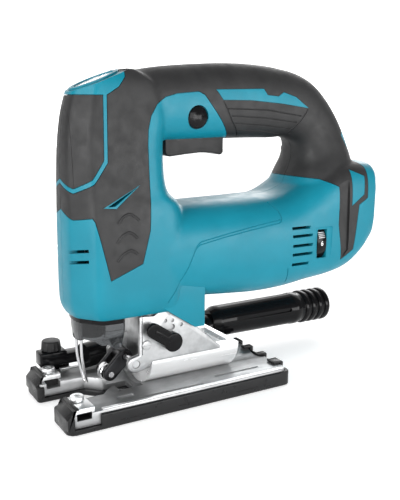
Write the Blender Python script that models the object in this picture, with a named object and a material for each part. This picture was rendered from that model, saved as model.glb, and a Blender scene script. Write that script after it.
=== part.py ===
"""Cordless top-handle jigsaw, piece by piece. Forward is -X, left is -Y, the sole rests on Z = 0."""

import math

import bmesh
import bpy
from mathutils import Matrix, Vector

MM = 0.001

# Fits
GAP = 0.3 * MM
SPIN_GAP = 0.25 * MM
SLIDE_GAP = 0.06 * MM

# Base and shoe
SOLE_LENGTH = 155.4 * MM
SOLE_WIDTH = 77.0 * MM
SHOE_FLOOR = 2.6 * MM
SHOE_RIM_HEIGHT = 9.6 * MM
SHOE_RIM_WALL = 1.7 * MM
BASE_TOP = 11.0 * MM
TOE_GAP = 27.0 * MM
BLADE_SLOT = 9.0 * MM
BOSS_TOP = 14.6 * MM
BOSS_WIDTH = 17.0 * MM
BOSS_LENGTH = 13.0 * MM
FENCE_SLOT_WIDTH = 9.0 * MM
FENCE_SLOT_HEIGHT = 4.4 * MM
FENCE_SLOT_LOW = 7.5 * MM
FENCE_SLOT_MIDDLE = -SOLE_LENGTH / 2 + SHOE_RIM_WALL + GAP + 2.0 * MM + BOSS_LENGTH / 2
NOTCH_REAR = -22.0 * MM
SHOE_MARGIN = SHOE_RIM_WALL + GAP
CLAMP_BOLT_X = 10.0 * MM
CLAMP_BOLT_RADIUS = 4.2 * MM

# Bevel saddle
TILT_Z = 30.0 * MM
SADDLE_RADIUS = 21.5 * MM
SADDLE_FRONT = -17.0 * MM
SADDLE_REAR = 46.0 * MM

# Housing
NOSE_X = -64.5 * MM
REAR_X = 149.5 * MM
BELLY_Z = 60.0 * MM
WINDOW_FLOOR_Z = 123.0 * MM
GRIP_LOW_Z = 160.5 * MM
GRIP_TOP_Z = 207.6 * MM
BODY_HALF_WIDTH = 35.5 * MM
NOSE_HALF_WIDTH = 27.0 * MM
GRIP_HALF_WIDTH = 17.8 * MM
SKIN = 1.7 * MM
WALL = 4.2 * MM
FOOT_WALL = 2.4 * MM
COVER_GAP = 0.7 * MM
RING_POINTS = 24
CAVITY_POINTS = 16

SCOOP = [(-48.6, 124.5), (-41.2, 123.8), (-25.3, 136.2)]
SCREW_HEAD_RADIUS = 3.2 * MM
SCREWS = [(-52 * MM, 110 * MM), (108 * MM, 152 * MM), (22 * MM, 113 * MM), (124 * MM, 78 * MM)]
VENT_COUNT = 5
VENT_PITCH = 5.1 * MM
VENT_LOW_Z = 80.0 * MM
VENT_FRONT = 78.0 * MM
VENT_REAR = 91.5 * MM

# Battery bay
BAY_DEPTH = 10.0 * MM
BAY_HALF_WIDTH = 25.0 * MM
BAY_LOW = 93.0 * MM
BAY_HIGH = 136.0 * MM
RAIL_DEPTH = 8.5 * MM
CONTACT_PITCH = 9.0 * MM
CONTACT_THICKNESS = 1.2 * MM

# Motor and gear train
MOTOR_Z = 88.0 * MM
STATOR_RADIUS = 21.0 * MM
STATOR_FRONT = 50.0 * MM
STATOR_LENGTH = 26.0 * MM
ROTOR_RADIUS = 11.5 * MM
AIR_GAP = 0.7 * MM
SHAFT_RADIUS = 2.5 * MM
SHAFT_REAR = 96.0 * MM
FAN_RADIUS = 20.0 * MM
FAN_FRONT = 33.0 * MM
FAN_DEPTH = 9.0 * MM
FAN_VANES = 9
BEARING_RADIUS = 8.0 * MM
BEARING_WIDTH = 6.0 * MM
GEAR_MODULE = 0.9 * MM
GEAR_TEETH = 40
PINION_TEETH = 8
GEAR_FRONT = -20.0 * MM
GEAR_WIDTH = 8.0 * MM
CRANK_THROW = 13.0 * MM
CRANK_PIN_RADIUS = 3.0 * MM
AXLE_RADIUS = 4.0 * MM

# Plunger and blade holder
BLADE_X = -46.5 * MM
PLUNGER_RADIUS = 4.0 * MM
PLUNGER_LOW = 46.0 * MM
PLUNGER_HIGH = 156.0 * MM
YOKE_SLACK = 2.9 * MM
YOKE_RIM = 3.2 * MM
YOKE_SIDE = 2.0 * MM
YOKE_DEPTH = 4.0 * MM
GUIDE_RADIUS = 8.0 * MM
GUIDE_HEIGHT = 7.0 * MM
LOWER_SHELF_Z = 77.0 * MM
SHELF_HALF = 10.2 * MM
SHELF_THICKNESS = 5.0 * MM
BLADE_CLAMP_RADIUS = 7.4 * MM
BLADE_CLAMP_HEIGHT = 15.0 * MM

# Controls
TRIGGER_FRONT = 4.5 * MM
TRIGGER_REAR = 41.0 * MM
TRIGGER_HALF_WIDTH = 7.5 * MM
TRIGGER_TRAVEL = 6.0 * MM
LOCK_X = 16.5 * MM
LOCK_Z = 174.0 * MM
LOCK_RADIUS = 6.8 * MM
DIAL_X = 102.0 * MM
DIAL_Z = 92.3 * MM
DIAL_RADIUS = 14.5 * MM
DIAL_WIDTH = 7.4 * MM
LEVER_X = -6.0 * MM
LEVER_Z = 40.5 * MM
LEVER_HUB_RADIUS = 6.0 * MM
SPUR_THICKNESS = 2.4 * MM
CAM_RADIUS = 3.5 * MM

# Blade support
ARM_PIN_X = -28.0 * MM
ARM_PIN_Z = 28.2 * MM
ARM_PIN_RADIUS = 2.2 * MM
ROLLER_X = -38.0 * MM
ROLLER_Z = 18.5 * MM
ROLLER_RADIUS = 5.4 * MM
ROLLER_WIDTH = 6.0 * MM
ROLLER_PIN_RADIUS = 1.8 * MM

# Dust nozzle
TUBE_Y = 36.5 * MM
TUBE_Z = 25.0 * MM
TUBE_RADIUS = 12.6 * MM
TUBE_WALL = 2.2 * MM
TUBE_FRONT = 58.0 * MM
TUBE_REAR = 165.5 * MM
DUCT_RADIUS = 7.6 * MM
KNOB_X = -61.0 * MM
KNOB_RADIUS = 6.6 * MM

# Top medallion plane, from the front edge up to the rear edge
BADGE_FRONT = Vector((-58.0 * MM, 0, 188.0 * MM))
BADGE_REAR = Vector((-27.0 * MM, 0, 200.4 * MM))
BADGE_HALF_WIDTH = 12.0 * MM
BADGE_DEPTH = 1.6 * MM

for old in list(bpy.data.objects):
    bpy.data.objects.remove(old)

jigsaw = bpy.data.collections.new("jigsaw")
cutters = bpy.data.collections.new("jigsaw_cutters")
bpy.context.scene.collection.children.link(jigsaw)
bpy.context.scene.collection.children.link(cutters)


# ---------------------------------------------------------------- tools of the trade


def material(name, colour, roughness, metallic=0.0):
    made = bpy.data.materials.new(name)
    made.use_nodes = True
    shader = made.node_tree.nodes["Principled BSDF"]
    shader.inputs["Base Color"].default_value = (*colour, 1.0)
    shader.inputs["Roughness"].default_value = roughness
    shader.inputs["Metallic"].default_value = metallic
    return made


TEAL = ((0.0, 0.29, 0.37), 0.42)
RUBBER = ((0.03, 0.03, 0.03), 0.7)
BLACK = ((0.02, 0.02, 0.02), 0.35)
STEEL = ((0.62, 0.62, 0.62), 0.3, 1.0)
ALLOY = ((0.72, 0.73, 0.74), 0.4, 1.0)
COPPER = ((0.72, 0.35, 0.15), 0.35, 1.0)
CLEAR = ((0.35, 0.38, 0.4), 0.15)
BOARD = ((0.02, 0.2, 0.08), 0.5)


def shape(name, bm):
    """A closed solid for further work, held with the cutters until it is finished."""
    bmesh.ops.recalc_face_normals(bm, faces=bm.faces)
    mesh = bpy.data.meshes.new(name)
    bm.to_mesh(mesh)
    bm.free()
    made = bpy.data.objects.new(name, mesh)
    made.hide_render = True
    made.display_type = "WIRE"
    cutters.objects.link(made)
    return made


def finish(made, name, look):
    """Turns a worked solid into one of the jigsaw's named pieces."""
    made.name = name
    made.data.name = name
    made.data.materials.clear()
    made.data.materials.append(material(name, *look))
    made.data.shade_smooth()
    made.data.set_sharp_from_angle(angle=math.radians(35))
    made.hide_render = False
    made.display_type = "TEXTURED"
    cutters.objects.unlink(made)
    jigsaw.objects.link(made)
    return made


def combine(target, tool, operation, keep=False):
    """Joins, cuts or intersects two solids for good."""
    step = target.modifiers.new(operation.lower(), "BOOLEAN")
    step.operation = operation
    step.object = tool
    step.solver = "EXACT"
    graph = bpy.context.evaluated_depsgraph_get()
    mesh = bpy.data.meshes.new_from_object(target.evaluated_get(graph))
    target.modifiers.clear()
    target.data = mesh
    if not keep:
        bpy.data.objects.remove(tool)
    return target


def join(target, *tools):
    for tool in tools:
        combine(target, tool, "UNION")
    return target


def cut(target, *tools):
    for tool in tools:
        combine(target, tool, "DIFFERENCE")
    return target


def block(low, high, bevel=0.0):
    bm = bmesh.new()
    size = [high[i] - low[i] for i in range(3)]
    middle = [(high[i] + low[i]) / 2 for i in range(3)]
    place = Matrix.Translation(middle) @ Matrix.Diagonal((*size, 1.0))
    bmesh.ops.create_cube(bm, size=1.0, matrix=place)
    if bevel:
        edges = bm.edges[:]
        bmesh.ops.bevel(bm, geom=edges, offset=bevel, segments=1, affect="EDGES")
    return shape("block", bm)


AXES = {
    "X": Matrix(((0, 0, 1, 0), (1, 0, 0, 0), (0, 1, 0, 0), (0, 0, 0, 1))),
    "Y": Matrix(((1, 0, 0, 0), (0, 0, -1, 0), (0, 1, 0, 0), (0, 0, 0, 1))),
    "Z": Matrix.Identity(4),
}


def rod(centre, axis, low, high, radius, far_radius=None, sides=20):
    """A round bar along one axis; centre gives the two other coordinates through a full point."""
    bm = bmesh.new()
    far = radius if far_radius is None else far_radius
    index = "XYZ".index(axis)
    place = Vector(centre)
    place[index] = (low + high) / 2
    turn = {"X": Matrix.Rotation(math.pi / 2, 4, "Y"), "Y": Matrix.Rotation(-math.pi / 2, 4, "X")}
    matrix = Matrix.Translation(place) @ turn.get(axis, Matrix.Identity(4))
    bmesh.ops.create_cone(
        bm, cap_ends=True, segments=sides, radius1=radius, radius2=far, depth=high - low, matrix=matrix
    )
    return shape("rod", bm)


def mesh_from_curve(curve, matrix):
    """A curve object's mesh with its caps welded, as a new solid."""
    drawn = bpy.data.objects.new("drawn", curve)
    drawn.matrix_world = matrix
    cutters.objects.link(drawn)
    bpy.context.view_layer.update()
    graph = bpy.context.evaluated_depsgraph_get()
    mesh = bpy.data.meshes.new_from_object(drawn.evaluated_get(graph))
    bm = bmesh.new()
    bm.from_mesh(mesh)
    bm.transform(matrix)
    bmesh.ops.remove_doubles(bm, verts=bm.verts, dist=0.01 * MM)
    bpy.data.objects.remove(drawn)
    return shape("outline", bm)


def plate(points, axis, low, high):
    """A flat outline given in the plane across an axis, as thick as low to high along it."""
    curve = bpy.data.curves.new("plate", "CURVE")
    curve.dimensions = "2D"
    curve.fill_mode = "BOTH"
    curve.extrude = (high - low) / 2
    spline = curve.splines.new("POLY")
    spline.points.add(len(points) - 1)
    for point, (a, b) in zip(spline.points, points):
        point.co = (a, b, 0, 1)
    spline.use_cyclic_u = True
    shift = Vector((0, 0, 0))
    shift["XYZ".index(axis)] = (low + high) / 2
    return mesh_from_curve(curve, Matrix.Translation(shift) @ AXES[axis])


def wire(points, radius, resolution=2, kind="POLY"):
    curve = bpy.data.curves.new("wire", "CURVE")
    curve.dimensions = "3D"
    curve.bevel_depth = radius
    curve.bevel_resolution = resolution
    curve.use_fill_caps = True
    spline = curve.splines.new(kind)
    spline.points.add(len(points) - 1)
    for point, place in zip(spline.points, points):
        point.co = (*place, 1)
    return mesh_from_curve(curve, Matrix.Identity(4))


def smooth_route(points, steps=5):
    """Points on a smooth curve through the given ones."""
    ends = [points[0] * 2 - points[1], *points, points[-1] * 2 - points[-2]]
    route = []
    for i in range(1, len(ends) - 2):
        before, start, stop, after = ends[i - 1 : i + 3]
        for k in range(steps):
            t = k / steps
            route.append(
                0.5
                * (
                    2 * start
                    + (stop - before) * t
                    + (2 * before - 5 * start + 4 * stop - after) * t**2
                    + (3 * start - before - 3 * stop + after) * t**3
                )
            )
    return [*route, points[-1]]


def turned(profile, centre, axis, steps=24):
    """A ring or barrel turned from a closed profile of (radius, along) points."""
    bm = bmesh.new()
    rings = []
    for k in range(steps):
        angle = 2 * math.pi * k / steps
        ring = [(radius * math.cos(angle), radius * math.sin(angle), along) for radius, along in profile]
        rings.append([bm.verts.new(place) for place in ring])
    count = len(profile)
    for k in range(steps):
        here, beyond = rings[k], rings[(k + 1) % steps]
        for i in range(count):
            j = (i + 1) % count
            bm.faces.new((here[i], here[j], beyond[j], beyond[i]))
    bm.transform(Matrix.Translation(centre) @ AXES[axis])
    return shape("turned", bm)


def tube(centre, axis, low, high, bore, radius, steps=24):
    """A plain ring: a bore and an outside radius between two levels along an axis."""
    sign = -1 if axis == "Y" else 1
    place = Vector(centre)
    place["XYZ".index(axis)] = 0
    profile = [(bore, low * sign), (bore, high * sign), (radius, high * sign), (radius, low * sign)]
    return turned(profile, place, axis, steps)


def offset_outline(points, distance):
    """The outline moved inwards by a distance, corner by corner; points run anticlockwise."""
    moved = []
    count = len(points)
    for i, here in enumerate(points):
        before, after = Vector(points[i - 1]), Vector(points[(i + 1) % count])
        here = Vector(here)
        first = (here - before).normalized()
        second = (after - here).normalized()
        normal = Vector((-first.y - second.y, first.x + second.x))
        scale = distance * 2 / max(normal.length_squared, 0.6)
        moved.append(here + normal * scale)
    return moved


def outline_mm(points):
    return [(a * MM, b * MM) for a, b in points]


# ---------------------------------------------------------------- housing surfaces


def oval(half_a, half_b, power, count):
    """Points round a rounded oval; a power of 2 is an ellipse and more is squarer."""
    points = []
    for k in range(count):
        angle = 2 * math.pi * (k + 0.5) / count
        c, s = math.cos(angle), math.sin(angle)
        a = half_a * math.copysign(abs(c) ** (2 / power), c)
        b = half_b * math.copysign(abs(s) ** (2 / power), s)
        points.append((a, b))
    return points


def loft(rings):
    """A closed skin over rings of points, split the same way whatever its inset."""
    bm = bmesh.new()
    made = [[bm.verts.new(place) for place in ring] for ring in rings]
    count = len(rings[0])
    for here, beyond in zip(made, made[1:]):
        for i in range(count):
            j = (i + 1) % count
            bm.faces.new((here[i], here[j], beyond[j]))
            bm.faces.new((here[i], beyond[j], beyond[i]))
    bm.faces.new(made[0])
    bm.faces.new(made[-1])
    return shape("loft", bm)


def column(inset, count, open_foot=False):
    """The upright front of the housing, in level slices from foot to crown."""
    foot = BELLY_Z - 12 * MM if open_foot else BELLY_Z + 1.5 * MM
    crown = GRIP_TOP_Z - (13 * MM if open_foot else 5.5 * MM + inset)
    window = GRIP_LOW_Z - WINDOW_FLOOR_Z
    slices = [
        (foot, 3.5 * MM, 8 * MM, -3.5 * MM),
        (BELLY_Z + 7 * MM, 0.8 * MM, 8 * MM, -1.2 * MM),
        (BELLY_Z + 16 * MM, 0, 8 * MM, 0),
        (WINDOW_FLOOR_Z - 16 * MM, 0, 8 * MM, 0),
        (WINDOW_FLOOR_Z, 0, 8 * MM, -1 * MM),
        (WINDOW_FLOOR_Z + 0.2 * window, 0, 3 * MM, -2.4 * MM),
        (WINDOW_FLOOR_Z + 0.5 * window, 0, 0.5 * MM, -4 * MM),
        (GRIP_LOW_Z, 1 * MM, 1 * MM, -6 * MM),
        (GRIP_LOW_Z + 0.35 * (GRIP_TOP_Z - GRIP_LOW_Z), 3.2 * MM, 2 * MM, -7.6 * MM),
        (GRIP_LOW_Z + 0.68 * (GRIP_TOP_Z - GRIP_LOW_Z), 7.5 * MM, -5 * MM, -9.5 * MM),
        (crown, 11 * MM, -18 * MM, -13 * MM),
    ]
    rings = []
    for z, setback, rear, narrow in slices:
        wall = FOOT_WALL if open_foot and z < BELLY_Z + 17 * MM else inset
        front = NOSE_X + setback + wall
        rear = rear - inset
        half = NOSE_HALF_WIDTH + narrow - wall
        middle = (front + rear) / 2
        ring = oval((rear - front) / 2, half, 2.6, count)
        rings.append([(middle + a, b, z) for a, b in ring])
    return loft(rings)


def barrel(inset, count, rear_stop):
    """The motor barrel and battery end, in upright slices from front to rear."""
    slices = [
        (-34, 6, -4, -13, 2.6),
        (-10, 3.5, -2, -8.5, 2.6),
        (14, 2, -0.5, -6, 2.7),
        (38, 0.5, 0, -4.2, 2.8),
        (60, -0.5, 0.5, -2.8, 2.9),
        (80, 1, 3, -1.4, 3.2),
        (98, 4, 11, -0.6, 3.6),
        (116, 7, 19.5, 0, 4.4),
        (130, 11, 22.5, 0, 4.6),
        (141, 19, 22, -0.3, 4.6),
        (149.5, 29, 20, -1.6, 4.6),
    ]
    drawn_rear = slices[-1][0] * MM
    rings = []
    for x, rise, top, narrow, power in slices:
        place = x * MM * REAR_X / drawn_rear if x > 0 else x * MM
        place = min(place, REAR_X - inset)
        if place > rear_stop:
            break
        low = BELLY_Z + rise * MM + inset
        high = WINDOW_FLOOR_Z + top * MM - inset
        half = BODY_HALF_WIDTH + narrow * MM - inset
        ring = oval(half, (high - low) / 2, power, count)
        rings.append([(place, a, (high + low) / 2 + b) for a, b in ring])
    return loft(rings)


def grip(inset, count, short=0.0):
    """The handle, swept back over the window and down into the barrel."""
    mid = (GRIP_LOW_Z + GRIP_TOP_Z) / 2
    half = (GRIP_TOP_Z - GRIP_LOW_Z) / 2
    stations = [
        (-40 * MM + short, mid - 6.5 * MM, half - 5 * MM, 2, -1),
        (-10 * MM, mid - 3.5 * MM, half - 2.2 * MM, 0, 0),
        (20 * MM, mid - 1.2 * MM, half - 0.5 * MM, 2, 0),
        (50 * MM, mid, half, 0, 0),
        (78 * MM, mid - 0.8 * MM, half - 0.6 * MM, -4, 0),
        (98 * MM, mid - 5 * MM, half - 1.4 * MM, -24, 0.4),
        (110.5 * MM, mid - 17 * MM, half - 2 * MM, -50, 2),
        (116 * MM, mid - 32 * MM, half + 0.2 * MM, -72, 6.4),
        (117 * MM, mid - 46 * MM, half + 3.4 * MM, -88, 12),
        (115 * MM, mid - 62 * MM, half + 6.5 * MM, -90, 15.5),
    ]
    rings = []
    for x, z, reach, slope, widen in stations:
        normal = Vector((math.sin(math.radians(-slope)), 0, math.cos(math.radians(slope))))
        width = GRIP_HALF_WIDTH + widen * MM - inset
        ring = oval(width, reach - inset, 2.5, count)
        rings.append([Vector((x, a, z)) + normal * b for a, b in ring])
    return loft(rings)


def body_solid(inset):
    """The whole outside of the housing, all shrunk by an inset."""
    solid = join(
        column(inset, RING_POINTS), barrel(inset, RING_POINTS, REAR_X), grip(inset, RING_POINTS)
    )
    lean = BADGE_REAR - BADGE_FRONT
    turn = Matrix.Rotation(-math.atan2(lean.z, lean.x), 4, "Y")
    trim = block((-60 * MM, -40 * MM, 0), (lean.length, 40 * MM, 30 * MM))
    trim.data.transform(Matrix.Translation(BADGE_FRONT - Vector((0, 0, inset))) @ turn)
    return cut(solid, trim)


def cavity_solid():
    """The hollow inside both shells, open under the front column."""
    solid = column(WALL, CAVITY_POINTS, open_foot=True)
    return join(
        solid,
        barrel(WALL, CAVITY_POINTS, REAR_X - 14 * MM),
        grip(WALL, CAVITY_POINTS, short=4 * MM),
    )


def grip_outline():
    """The side view of the soft grip: nose band, column, handle and rear strip."""
    return outline_mm(
        [
            (-75, 121),
            (-55, 121.5),
            (-54, 119),
            (-45.5, 83),
            (-25.5, 91),
            (-22, 120),
            (-21.5, 166),
            (-19, 174.5),
            (-11.5, 183),
            (-2.5, 187.2),
            (17, 189),
            (21, 187),
            (37.5, 161.5),
            (36.5, 157),
            (36.5, 150),
            (84, 150),
            (76, 139),
            (90, 135),
            (106, 133.5),
            (115, 129.5),
            (115, 104),
            (119.5, 80),
            (128, 85),
            (134.5, 102),
            (137.7, 116),
            (139, 121),
            (140.5, 140),
            (130, 150.5),
            (122, 161),
            (160, 175),
            (160, 220),
            (-24, 220),
            (-25, 196),
            (-42.5, 186),
            (-44.5, 149.5),
            (-62, 131),
            (-75, 131),
        ]
    )


def nose_outline():
    return outline_mm([(-75, 134), (-62, 134), (-46.5, 151), (-44.8, 186), (-75, 184)])


def trigger_hole():
    return block(
        (TRIGGER_FRONT - GAP, -TRIGGER_HALF_WIDTH - GAP, GRIP_LOW_Z - 8 * MM),
        (TRIGGER_REAR + GAP, TRIGGER_HALF_WIDTH + GAP, GRIP_LOW_Z + 8 * MM),
    )


def dial_y():
    return -BODY_HALF_WIDTH + DIAL_RADIUS + 0.4 * MM


def housing_cuts():
    """Every opening that goes through the shells."""
    tools = []
    wide = BODY_HALF_WIDTH + 10 * MM
    for k in range(VENT_COUNT):
        z = VENT_LOW_Z + VENT_PITCH * k
        for low, high in ((-wide, -20 * MM), (20 * MM, wide)):
            tools.append(block((VENT_FRONT, low, z - 0.9 * MM), (VENT_REAR, high, z + 1 * MM)))
    for k in range(2):
        z = (95.5 + 6 * k) * MM
        for side in (-1, 1):
            tool = block((-70 * MM, -1 * MM, -0.9 * MM), (-53 * MM, 1 * MM, 0.9 * MM))
            slope = Matrix.Rotation(math.radians(14), 4, "Y")
            spread = Matrix.Diagonal((1, 4.5, 1, 1))
            tool.data.transform(Matrix.Translation((0, side * 19 * MM, z - 15 * MM)) @ slope @ spread)
            tools.append(tool)
    for low, high in ((-wide, -16 * MM), (16 * MM, wide)):
        tools.append(plate(outline_mm(SCOOP), "Y", low, high))
    tools.append(trigger_hole())
    tools.append(rod((LOCK_X, 0, LOCK_Z), "Y", -30 * MM, -2 * MM, LOCK_RADIUS + GAP))
    dial_gap = DIAL_WIDTH / 2 + GAP
    tools.append(
        block(
            (DIAL_X - dial_gap, -wide, DIAL_Z - 9.5 * MM),
            (DIAL_X + dial_gap, -BODY_HALF_WIDTH + 8 * MM, DIAL_Z + 9.5 * MM),
        )
    )
    pocket = DIAL_RADIUS + 2 * GAP
    tools.append(rod((0, dial_y(), DIAL_Z), "X", DIAL_X - dial_gap, DIAL_X + dial_gap, pocket, sides=28))
    tools.append(
        block((REAR_X - BAY_DEPTH, -BAY_HALF_WIDTH, BAY_LOW), (REAR_X + 9 * MM, BAY_HALF_WIDTH, BAY_HIGH))
    )
    tools.append(badge_solid(BADGE_HALF_WIDTH + GAP, GAP, -BADGE_DEPTH - GAP, 20 * MM))
    for x, z in SCREWS:
        place = (x, 0, z)
        tools.append(rod(place, "Y", 12 * MM, wide, SCREW_HEAD_RADIUS + GAP, sides=16))
    return tools



def badge_solid(half_width, grow, low, high):
    """An oval slab lying on the medallion plane."""
    lean = BADGE_REAR - BADGE_FRONT
    turn = Matrix.Rotation(-math.atan2(lean.z, lean.x), 4, "Y")
    half_length = lean.length / 2 - 1.2 * MM + grow
    solid = plate(oval(half_length, half_width, 2.0, 28), "Z", low, high)
    solid.data.transform(Matrix.Translation((BADGE_FRONT + BADGE_REAR) / 2) @ turn)
    return solid


def half_space(side):
    near, far = side * GAP / 2, side * 60 * MM
    return block((-90 * MM, min(near, far), 0), (190 * MM, max(near, far), 230 * MM))


def spur(side):
    """The tail of each shell that hangs behind the gear case's side."""
    points = outline_mm([(-12, 66), (-11.5, 62.8), (8, 48.5), (14, 48), (14, 66)])
    inner = SADDLE_RADIUS + 1.2 * MM
    low, high = sorted((side * inner, side * (inner + SPUR_THICKNESS)))
    return plate(points, "Y", low, high)


def build_housing():
    outside = body_solid(0)
    under_skin = body_solid(SKIN + 1.5 * GAP)
    skin_back = body_solid(SKIN)
    wide = 60 * MM
    for outline, names in (
        (grip_outline(), ("grip_left", "grip_right")),
        (nose_outline(), ("nose_pad_left", "nose_pad_right")),
    ):
        for side, name in zip((-1, 1), names):
            skin = plate(offset_outline(outline, GAP), "Y", -wide, wide)
            combine(skin, outside, "INTERSECT", keep=True)
            combine(skin, skin_back, "DIFFERENCE", keep=True)
            combine(skin, half_space(side), "INTERSECT")
            if name.startswith("grip"):
                low, high = sorted((side * 16 * MM, side * wide))
                cut(skin, plate(outline_mm(SCOOP), "Y", low, high), trigger_hole())
            cut(skin, badge_solid(BADGE_HALF_WIDTH + GAP, GAP, -BADGE_DEPTH - GAP, 20 * MM))
            for x, z in SCREWS:
                cut(skin, rod((x, 0, z), "Y", 12 * MM, wide, SCREW_HEAD_RADIUS + GAP, sides=16))
            finish(skin, name, RUBBER)
    bpy.data.objects.remove(skin_back)
    for outline in (grip_outline(), nose_outline()):
        cut(outside, plate(outline, "Y", -wide, wide))
    join(outside, under_skin)
    cut(outside, cavity_solid())
    cut(outside, *housing_cuts())
    other = outside.copy()
    other.data = outside.data.copy()
    cutters.objects.link(other)
    for solid, side, name in ((outside, -1, "housing_left"), (other, 1, "housing_right")):
        combine(solid, half_space(side), "INTERSECT")
        join(solid, spur(side))
        finish(solid, name, TEAL)


def build_badge():
    ring = badge_solid(BADGE_HALF_WIDTH, 0, -BADGE_DEPTH, 1.0 * MM)
    cut(ring, badge_solid(BADGE_HALF_WIDTH - 3 * MM, -3 * MM, -0.8 * MM, 5 * MM))
    finish(ring, "badge_ring", TEAL)
    inner = BADGE_HALF_WIDTH - 3 * MM - GAP
    disc = badge_solid(inner, -3 * MM - GAP, -0.8 * MM + GAP, 0.4 * MM)
    finish(disc, "badge_disc", ALLOY)


def build_screws():
    for k, (x, z) in enumerate(SCREWS, start=1):
        place = (x, 0, z)
        head = rod(place, "Y", 14 * MM, 17 * MM, SCREW_HEAD_RADIUS, sides=12)
        cut(head, rod(place, "Y", 15.5 * MM, 20 * MM, 1.5 * MM, sides=6))
        finish(head, f"housing_screw_{k}", STEEL)


# ---------------------------------------------------------------- controls


def build_controls():
    low = GRIP_LOW_Z - 10 * MM
    top = GRIP_LOW_Z + 9 * MM
    pull = block(
        (TRIGGER_FRONT, -TRIGGER_HALF_WIDTH, low), (TRIGGER_REAR, TRIGGER_HALF_WIDTH, top), 1.5 * MM
    )
    finish(pull, "trigger", BLACK)
    switch_low = top + TRIGGER_TRAVEL + 1 * MM
    switch = block((TRIGGER_FRONT + 3 * MM, -9 * MM, switch_low), (TRIGGER_REAR - 2 * MM, 9 * MM, 197 * MM))
    finish(switch, "switch_body", BLACK)
    place = (LOCK_X, 0, LOCK_Z)
    button = rod(place, "Y", -GRIP_HALF_WIDTH - 0.9 * MM, -12.4 * MM, LOCK_RADIUS * 0.86, LOCK_RADIUS)
    finish(button, "lock_button", BLACK)
    low_x, high_x = DIAL_X - DIAL_WIDTH / 2, DIAL_X + DIAL_WIDTH / 2
    wheel = rod((0, dial_y(), DIAL_Z), "X", low_x, high_x, DIAL_RADIUS, sides=30)
    finish(wheel, "speed_dial", BLACK)
    board_x = REAR_X - BAY_DEPTH - 10 * MM
    board = block((board_x - 1.6 * MM, -22 * MM, 80 * MM), (board_x, 22 * MM, 128 * MM))
    finish(board, "control_board", BOARD)


def build_terminals():
    """The battery mount: a floor plate with two upright rails and three contact blades."""
    floor_x = REAR_X - BAY_DEPTH + GAP
    floor = floor_x + 2.5 * MM
    low, high = BAY_LOW + 1 * MM, BAY_HIGH - 1 * MM
    half = BAY_HALF_WIDTH - GAP
    mount = block((floor_x, -half, low), (floor, half, high))
    lip_x = floor_x + RAIL_DEPTH - 2.5 * MM
    for side in (-1, 1):
        for start, reach in ((floor_x + 1 * MM, 4 * MM), (lip_x, 6.5 * MM)):
            inner, outer = sorted((side * half, side * (half - reach)))
            join(mount, block((start, inner, low), (floor_x + RAIL_DEPTH, outer, high)))
    for k in range(3):
        middle = (k - 1) * CONTACT_PITCH
        half = CONTACT_THICKNESS / 2
        foot, head = low + 3 * MM, low + 17 * MM
        slot_low = (floor_x - 1 * MM, middle - half - GAP, foot - GAP)
        cut(mount, block(slot_low, (floor + 1 * MM, middle + half + GAP, head + GAP)))
        blade = block((floor_x, middle - half, foot), (floor + 5 * MM, middle + half, head))
        finish(blade, f"battery_contact_{k + 1}", COPPER)
    finish(mount, "battery_rails", BLACK)


# ---------------------------------------------------------------- motor and gears


def gear_outline(teeth, thickness, spin):
    """Straight-flanked teeth; thickness is each tooth's share of the pitch."""
    pitch = GEAR_MODULE * teeth / 2
    root = pitch - 1.15 * GEAR_MODULE
    tip = pitch + 0.8 * GEAR_MODULE
    step = 2 * math.pi / teeth
    half_root = step * (thickness / 2 + 0.13)
    half_tip = step * (thickness / 2 - 0.1)
    points = []
    for k in range(teeth):
        middle = spin + k * step
        for radius, angle in (
            (root, middle - half_root),
            (tip, middle - half_tip),
            (tip, middle + half_tip),
            (root, middle + half_root),
        ):
            points.append((radius * math.cos(angle), radius * math.sin(angle)))
    return points


def gear_centre_z():
    return MOTOR_Z + GEAR_MODULE * (GEAR_TEETH + PINION_TEETH) / 2 + 0.05 * MM


def build_crank():
    centre = gear_centre_z()
    rear = GEAR_FRONT + GEAR_WIDTH
    flat = [(a, b + centre) for a, b in gear_outline(GEAR_TEETH, 0.38, -math.pi / 2)]
    gear = plate(flat, "X", GEAR_FRONT, rear)
    join(gear, rod((0, 0, centre), "X", rear - 1 * MM, rear + 9 * MM, AXLE_RADIUS))
    pin_front = yoke_front() - 0.6 * MM
    join(gear, rod((0, CRANK_THROW, centre), "X", pin_front, GEAR_FRONT + 1 * MM, CRANK_PIN_RADIUS))
    finish(gear, "crank_gear", STEEL)


def vane_outline(hub, tip):
    """Straight radial vanes round a hub."""
    points = []
    for k in range(FAN_VANES):
        middle = 2 * math.pi * k / FAN_VANES
        for radius, side in ((hub, -1), (tip, -1), (tip, 1), (hub, 1)):
            angle = middle + side * 0.6 * MM / radius
            points.append((radius * math.cos(angle), MOTOR_Z + radius * math.sin(angle)))
    return points


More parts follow.
